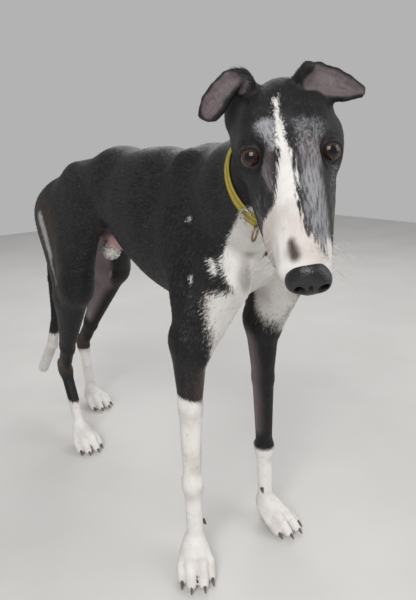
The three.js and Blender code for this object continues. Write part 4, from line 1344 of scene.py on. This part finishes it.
def mixed_mesh(name, points, faces):
    """A smooth object whose faces have three or four corners"""
    mesh = bpy.data.meshes.new(name)
    mesh.from_pydata(to_metres(points).tolist(), [], [list(dict.fromkeys(f)) for f in faces.tolist()])
    mesh.polygons.foreach_set("use_smooth", np.ones(len(mesh.polygons), bool))
    mesh.update()
    return add_object(name, mesh)


# Eyes: a ball in rings round the way it looks, with a clear bulge in front
EYE_RINGS = 40
EYE_SIDES = 48
BULGE = {"high": 0.7, "wide": 40}
EYE_TURN = [0.06, -0.05, 0.09]  # how the eyes look past the gaze of their lids
SPOKE_PULL = 0.6  # how far the iris runs in spokes
eye_look = eye_material()
for s, side in zip(SIDES, SIDE_NAMES):
    centre = np.array(on_head(eye_at(s)))
    past = [EYE_TURN[0], EYE_TURN[1] * s, EYE_TURN[2]]
    out = np.array(head_way(unit(plus(gaze(s), past))))
    flat = np.array(unit(cross([0, 0, 1], out.tolist())))
    up = np.cross(out, flat)
    angles = np.radians(np.linspace(0, 180, EYE_RINGS + 1))[1:-1]
    turns = 2 * np.pi * np.arange(EYE_SIDES) / EYE_SIDES
    a, t = (v.ravel() for v in np.meshgrid(angles, turns, indexing="ij"))
    radius = EYE_RADIUS + BULGE["high"] * np.exp(-((np.degrees(a) / BULGE["wide"]) ** 4))
    spots = centre + (radius * np.cos(a))[:, None] * out
    spots = spots + (radius * np.sin(a) * np.cos(t))[:, None] * flat
    spots = spots + (radius * np.sin(a) * np.sin(t))[:, None] * up
    ends = [centre + out * (EYE_RADIUS + BULGE["high"]), centre - out * EYE_RADIUS]
    faces = sheet(EYE_RINGS - 1, EYE_SIDES)[:, TURNED_OVER]
    eyeball = mixed_mesh(f"eyeball_{side}", np.concatenate([spots, ends]), faces)
    set_values(eyeball, "ring", [*np.degrees(a), 0, 180])
    spokes = np.stack([np.cos(t), np.sin(t), a * SPOKE_PULL], 1)
    set_vectors(eyeball, "spoke", np.concatenate([spokes, np.zeros((2, 3))]))
    finish(eyeball, eye_look, [f"eye_{side}"])

# Nose leather, with its nostrils and the groove between them
nostrils = [bone([164, 3.5, -3], [158, 3.5, -28], 1.1, 1.1, 2)]
for s in SIDES:
    nostrils.append(bone([166, 4 + s * 7.5, -10.5], [158, 4 + s * 11, -9], 3.1, 3.1, 2.5))
    nostrils.append(bone([160, 3 + s * 12, -10], [152, 3 + s * 17, -14], 1.7, 0.8, 1.5))
NOSE_ROOM = [30, 30, 30]
NOSE_BACK = [136, 2, -8]
NOSE_EDGE = 1.2  # how far the painted shade inside a nostril spreads past its walls
nose_middle = on_head(NOSE_CENTRE)
nose_box = {"low": minus(nose_middle, NOSE_ROOM), "high": plus(nose_middle, NOSE_ROOM)}
nose_box = {**nose_box, "cell": 0.75, "quick": 1.2}
nose_flesh = head_masses(*nose, *[dent(m) for m in nostrils])
points, faces, _ = netted(nose_flesh, nose_box, (on_head(NOSE_BACK), head_way([-1, 0, 0])))
nose_piece = new_mesh("nose_leather", points, faces)
holes = head_masses(*nostrils[1:])
# Painted shade inside the nostrils: 1 on their walls, fading to 0 within NOSE_EDGE mm outside them
set_values(nose_piece, "nostril_shade", np.clip(1.0 - depth(holes, points) / NOSE_EDGE, 0, 1))
finish(nose_piece, leather_material(), ["nose"])

# Claws: each bends a little more at every step, and thins to its tip
CLAW = {"size": 3.9, "thins": 0.78, "power": 1.6, "long": 20, "dip": 3, "bend": 0.75, "steps": 9, "sides": 10}


def claw(start, way, bend):
    steps = CLAW["steps"]
    spots, radii = [], []
    spot, step = np.array(start, float), np.array(way, float) / steps
    for i in range(steps + 1):
        spots.append(spot)
        radii.append(CLAW["size"] * (1 - CLAW["thins"] * (i / steps) ** CLAW["power"]))
        spot = spot + step
        turned = step + np.array(bend) * length(way) / steps**2
        step = turned / np.linalg.norm(turned) * length(way) / steps
    return tube(spots, radii, CLAW["sides"])


claws = []
for name, leg in legs.items():
    spot = paw_frames[name]
    for s in SIDES:
        for start, order in claw_roots(s):
            way = turn_out(spot, [CLAW["long"], s * order, -CLAW["dip"]])
            claws.append(claw(out_of(spot, start), way, turn_out(spot, [0, 0, -CLAW["bend"]])))
    if name in dewclaws:
        claws.append(claw(dewclaws[name], [5, -leg["s"] * 4, -9], [0.5, 0, -0.3]))
points, faces = together(claws)
points[:, 2] = np.maximum(points[:, 2], 0)
claw_piece = mixed_mesh("claws", points, faces)
along = np.append(np.repeat(np.arange(CLAW["steps"] + 1), CLAW["sides"]), [0, CLAW["steps"]])
set_values(claw_piece, "tip", np.tile(along, len(claws)) / CLAW["steps"])
finish(claw_piece, horn_material(), [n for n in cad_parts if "claw" in n])

# Whiskers in three rows, from the side of the muzzle out and a little down
WHISKER = {"count": 9, "points": 8, "thick": 0.24, "droop": 0.22, "sides": 4, "seed": 11}
WHISKER_ROOT = {"start": 104, "aside": 24, "up": -8, "apart": 4.2, "row": 5.5, "stray": 3}
WHISKER_LENGTHS = (20, 42)
rng = np.random.default_rng(WHISKER["seed"])
droop = np.array(head_way([0.1, 0, -1]))
whiskers = []
for s in SIDES:
    for i in range(WHISKER["count"]):
        down = WHISKER_ROOT["row"] * (i % 3)
        high = WHISKER_ROOT["up"] - down - rng.uniform(0, WHISKER_ROOT["stray"])
        root = [WHISKER_ROOT["start"] + WHISKER_ROOT["apart"] * i, s * WHISKER_ROOT["aside"], high]
        root = onto_skin([on_head(root)], flesh)[0]
        way = np.array(head_way(unit([0.55, s * rng.uniform(0.7, 1.0), rng.uniform(-0.5, 0.1)])))
        long = rng.uniform(*WHISKER_LENGTHS)
        t = np.linspace(0, 1, WHISKER["points"])[:, None]
        spots = root + way * long * t + droop * long * WHISKER["droop"] * t**2
        whiskers.append(tube(spots, WHISKER["thick"] * (1.1 - t[:, 0]), WHISKER["sides"]))
finish(mixed_mesh("whiskers", *together(whiskers)), whisker_material())

# The collar: a band that hugs the neck, with two raised lines. The strap's end lies over it.
COLLAR = {"wide": 15, "thick": 2.8, "clear": 1.4, "steps": 120}
COLLAR_TOP = COLLAR["clear"] + COLLAR["thick"]
STRAP_END = {"wide": 13.5, "thick": 2.2, "clear": COLLAR_TOP + 0.2, "steps": 30, "past_ring": 0.25}
SECTION = [[-0.5, 0.1], [-0.5, 0.55], [-0.46, 0.72], [-0.4, 0.75], [-0.36, 0.95], [-0.31, 1.0], [-0.26, 0.95]]
SECTION += [[-0.22, 0.72], [0, 0.68]]
SECTION += [[-a, o] for a, o in SECTION[-2::-1]]
NECK_RADIUS = 55
THREAD = 0.9
collar_side = unit(cross([0, 0, 1], COLLAR_WAY))
collar_up = cross(COLLAR_WAY, collar_side)
neck_flesh = [*trunk, *neck, *skull]


def neck_edges(angles, along=0):
    """Spots on the neck at angles round the collar, and the ways out there"""
    first, steps = 30.0, 20
    angles = np.asarray(angles, float)[:, None]
    ways = np.cos(angles) * collar_side + np.sin(angles) * collar_up
    start = np.array(COLLAR_CENTRE) + along * np.array(COLLAR_WAY)
    r = np.full(len(angles), first)
    for _ in range(steps):
        r -= depth(neck_flesh, start + ways * r[:, None])
    return start + ways * r[:, None], ways


def band(name, strap, first, last, shut=False, nodes=()):
    """A piece of strap from one angle round the neck to another"""
    angles = np.linspace(first, last, strap["steps"], endpoint=not shut)
    lines = []
    for along, out in SECTION:
        edge, ways = neck_edges(angles, along * strap["wide"])
        lines.append(edge + ways * (strap["clear"] + out * strap["thick"]))
    rows = np.stack(lines, 1)
    around = np.repeat(angles, len(SECTION)) * NECK_RADIUS
    across = np.tile([along * strap["wide"] for along, _ in SECTION], len(angles))
    verts = rows.reshape(-1, 3)
    if not shut:
        verts = np.concatenate([verts, rows[[0, -1]].mean(1)])
        around, across = (np.append(v, [0, 0]) for v in (around, across))
    piece = mixed_mesh(name, verts, sheet(len(angles), len(SECTION), shut)[:, TURNED_OVER])
    set_values(piece, "across", np.abs(across) * 2 / strap["wide"])
    set_vectors(piece, "weave", np.stack([around / THREAD, across / THREAD, around * 0], 1))
    finish(piece, strap_look, nodes)


def angle_of(p):
    start = minus(p, COLLAR_CENTRE)
    return math.atan2(dot(start, collar_up), dot(start, collar_side))


strap_look = strap_material()
buckle_angle = angle_of([412, -116, 628])
ring_angle = angle_of([436, -122, 612])
band("collar_band", COLLAR, 0, 2 * math.pi, True, ["collar"])
band("collar_end", STRAP_END, buckle_angle, ring_angle + STRAP_END["past_ring"])


def collar_frame(angle, lift):
    """A frame on the collar: along the strap, across it and out"""
    edge, ways = neck_edges([angle])
    way = ways[0].tolist()
    along = cross(COLLAR_WAY, way)
    return {"origin": plus(edge[0].tolist(), times(way, lift)), "axes": [along, COLLAR_WAY, way]}


def loop_of(spot, wide, high, power, steps=36):
    """A rounded rectangle in a frame's first two axes"""
    points = []
    for i in range(steps):
        a = 2 * math.pi * i / steps
        c, s = math.cos(a), math.sin(a)
        x = wide * math.copysign(abs(c) ** power, c)
        y = high * math.copysign(abs(s) ** power, s)
        points.append(out_of(spot, [x, y, 0]))
    return points


# The buckle: a square frame of wire, its prong, and a keeper for the strap's end
BUCKLE = {"long": 6, "wide": 9.5, "wire": 1.1, "lift": 1.6, "square": 0.5}
PRONG = {"wire": 0.9, "line": [[-6, 0, 1.2], [-2, 0, 1.8], [3, 0, 2.2], [7.2, 0, 1.2]]}
KEEPER = {"long": 1.5, "wide": 8.8, "wire": 1.0, "lift": 2.4, "square": 0.4, "turn": 0.28}
spot = collar_frame(buckle_angle, COLLAR_TOP + BUCKLE["lift"])
wire = loop_of(spot, BUCKLE["long"], BUCKLE["wide"], BUCKLE["square"])
prong = [out_of(spot, p) for p in PRONG["line"]]
keeper_spot = collar_frame(buckle_angle + KEEPER["turn"], COLLAR_TOP + KEEPER["lift"])
keeper = loop_of(keeper_spot, KEEPER["long"], KEEPER["wide"], KEEPER["square"])
parts = [
    tube(wire, BUCKLE["wire"], 8, True, spot["axes"][2]),
    tube(prong, PRONG["wire"], 6, False, spot["axes"][1]),
    tube(keeper, KEEPER["wire"], 8, True, spot["axes"][2]),
]
silver = metal_material("buckle_metal", (0.62, 0.61, 0.6), (0.34, 0.33, 0.32), 0.25)
finish(mixed_mesh("buckle", *together(parts)), silver, ["collar_buckle"])

# The ring hangs down from the strap
RING = {"wide": 8, "high": 10, "wire": 1.4, "clear": 0.4}
down = unit([-0.15, -0.12, -0.97])
aside = unit(cross(down, [0.86, 0.46, 0.1]))
hung = collar_frame(ring_angle, COLLAR_TOP + RING["wire"] + RING["clear"])
ring_middle = plus(hung["origin"], times(down, RING["high"]))
ring_spot = {"origin": ring_middle, "axes": [aside, down, cross(aside, down)]}
loop = loop_of(ring_spot, RING["wide"], RING["high"], 0.9)
bronze = metal_material("ring_metal", (0.36, 0.27, 0.16), (0.16, 0.11, 0.06), 0.3)
ring_piece = mixed_mesh("ring", *tube(loop, RING["wire"], 10, True, ring_spot["axes"][2]))
finish(ring_piece, bronze, ["collar_ring"])

# Camera, in mm and degrees in the dog's frame
CAMERA_AT = [884.015, -546.242, 710.289]
CAMERA_TURN = {"yaw": 141.648, "dip": 15.977, "roll": 1.523}
FOCAL_PIXELS = 536.07
FRAME_WIDTH = 416
SENSOR = 36.0
camera = add_object("camera", bpy.data.cameras.new("camera"))
camera.data.sensor_fit = "HORIZONTAL"
camera.data.sensor_width = SENSOR
camera.data.lens = SENSOR * FOCAL_PIXELS / FRAME_WIDTH
ahead, left, up = frame_at(CAMERA_AT, **CAMERA_TURN)["axes"]
right, back = times(left, -1), times(ahead, -1)
camera_spot = to_metres(np.array(CAMERA_AT))
rows = [[right[i], up[i], back[i], camera_spot[i]] for i in range(3)]
camera.matrix_world = Matrix([*rows, [0, 0, 0, 1]])
bpy.context.scene.camera = camera
bpy.context.scene.view_settings.view_transform = "Standard"

# Floor and light, in metres
bpy.ops.mesh.primitive_plane_add(size=8)
floor = bpy.context.object
floor.name = "floor"
floor.data.materials.append(floor_material())
LIT_MIDDLE = Vector((0, 0, 0.45))


def soft_light(name, at, size, power):
    lamp = add_object(name, bpy.data.lights.new(name, "AREA"))
    lamp.data.size = size
    lamp.data.energy = power
    lamp.location = at
    lamp.rotation_euler = (LIT_MIDDLE - lamp.location).to_track_quat("-Z", "Y").to_euler()


soft_light("key", (1.7, -2.0, 2.4), 1.8, 72)
soft_light("fill", (2.4, 2.0, 1.8), 2.2, 34)
soft_light("back", (-1.6, 1.4, 2.2), 1.6, 22)
world = bpy.data.worlds.new("world")
bpy.context.scene.world = world
world.use_nodes = True
background = world.node_tree.nodes["Background"]
background.inputs["Color"].default_value = (0.9, 0.9, 0.91, 1)
background.inputs["Strength"].default_value = 0.5
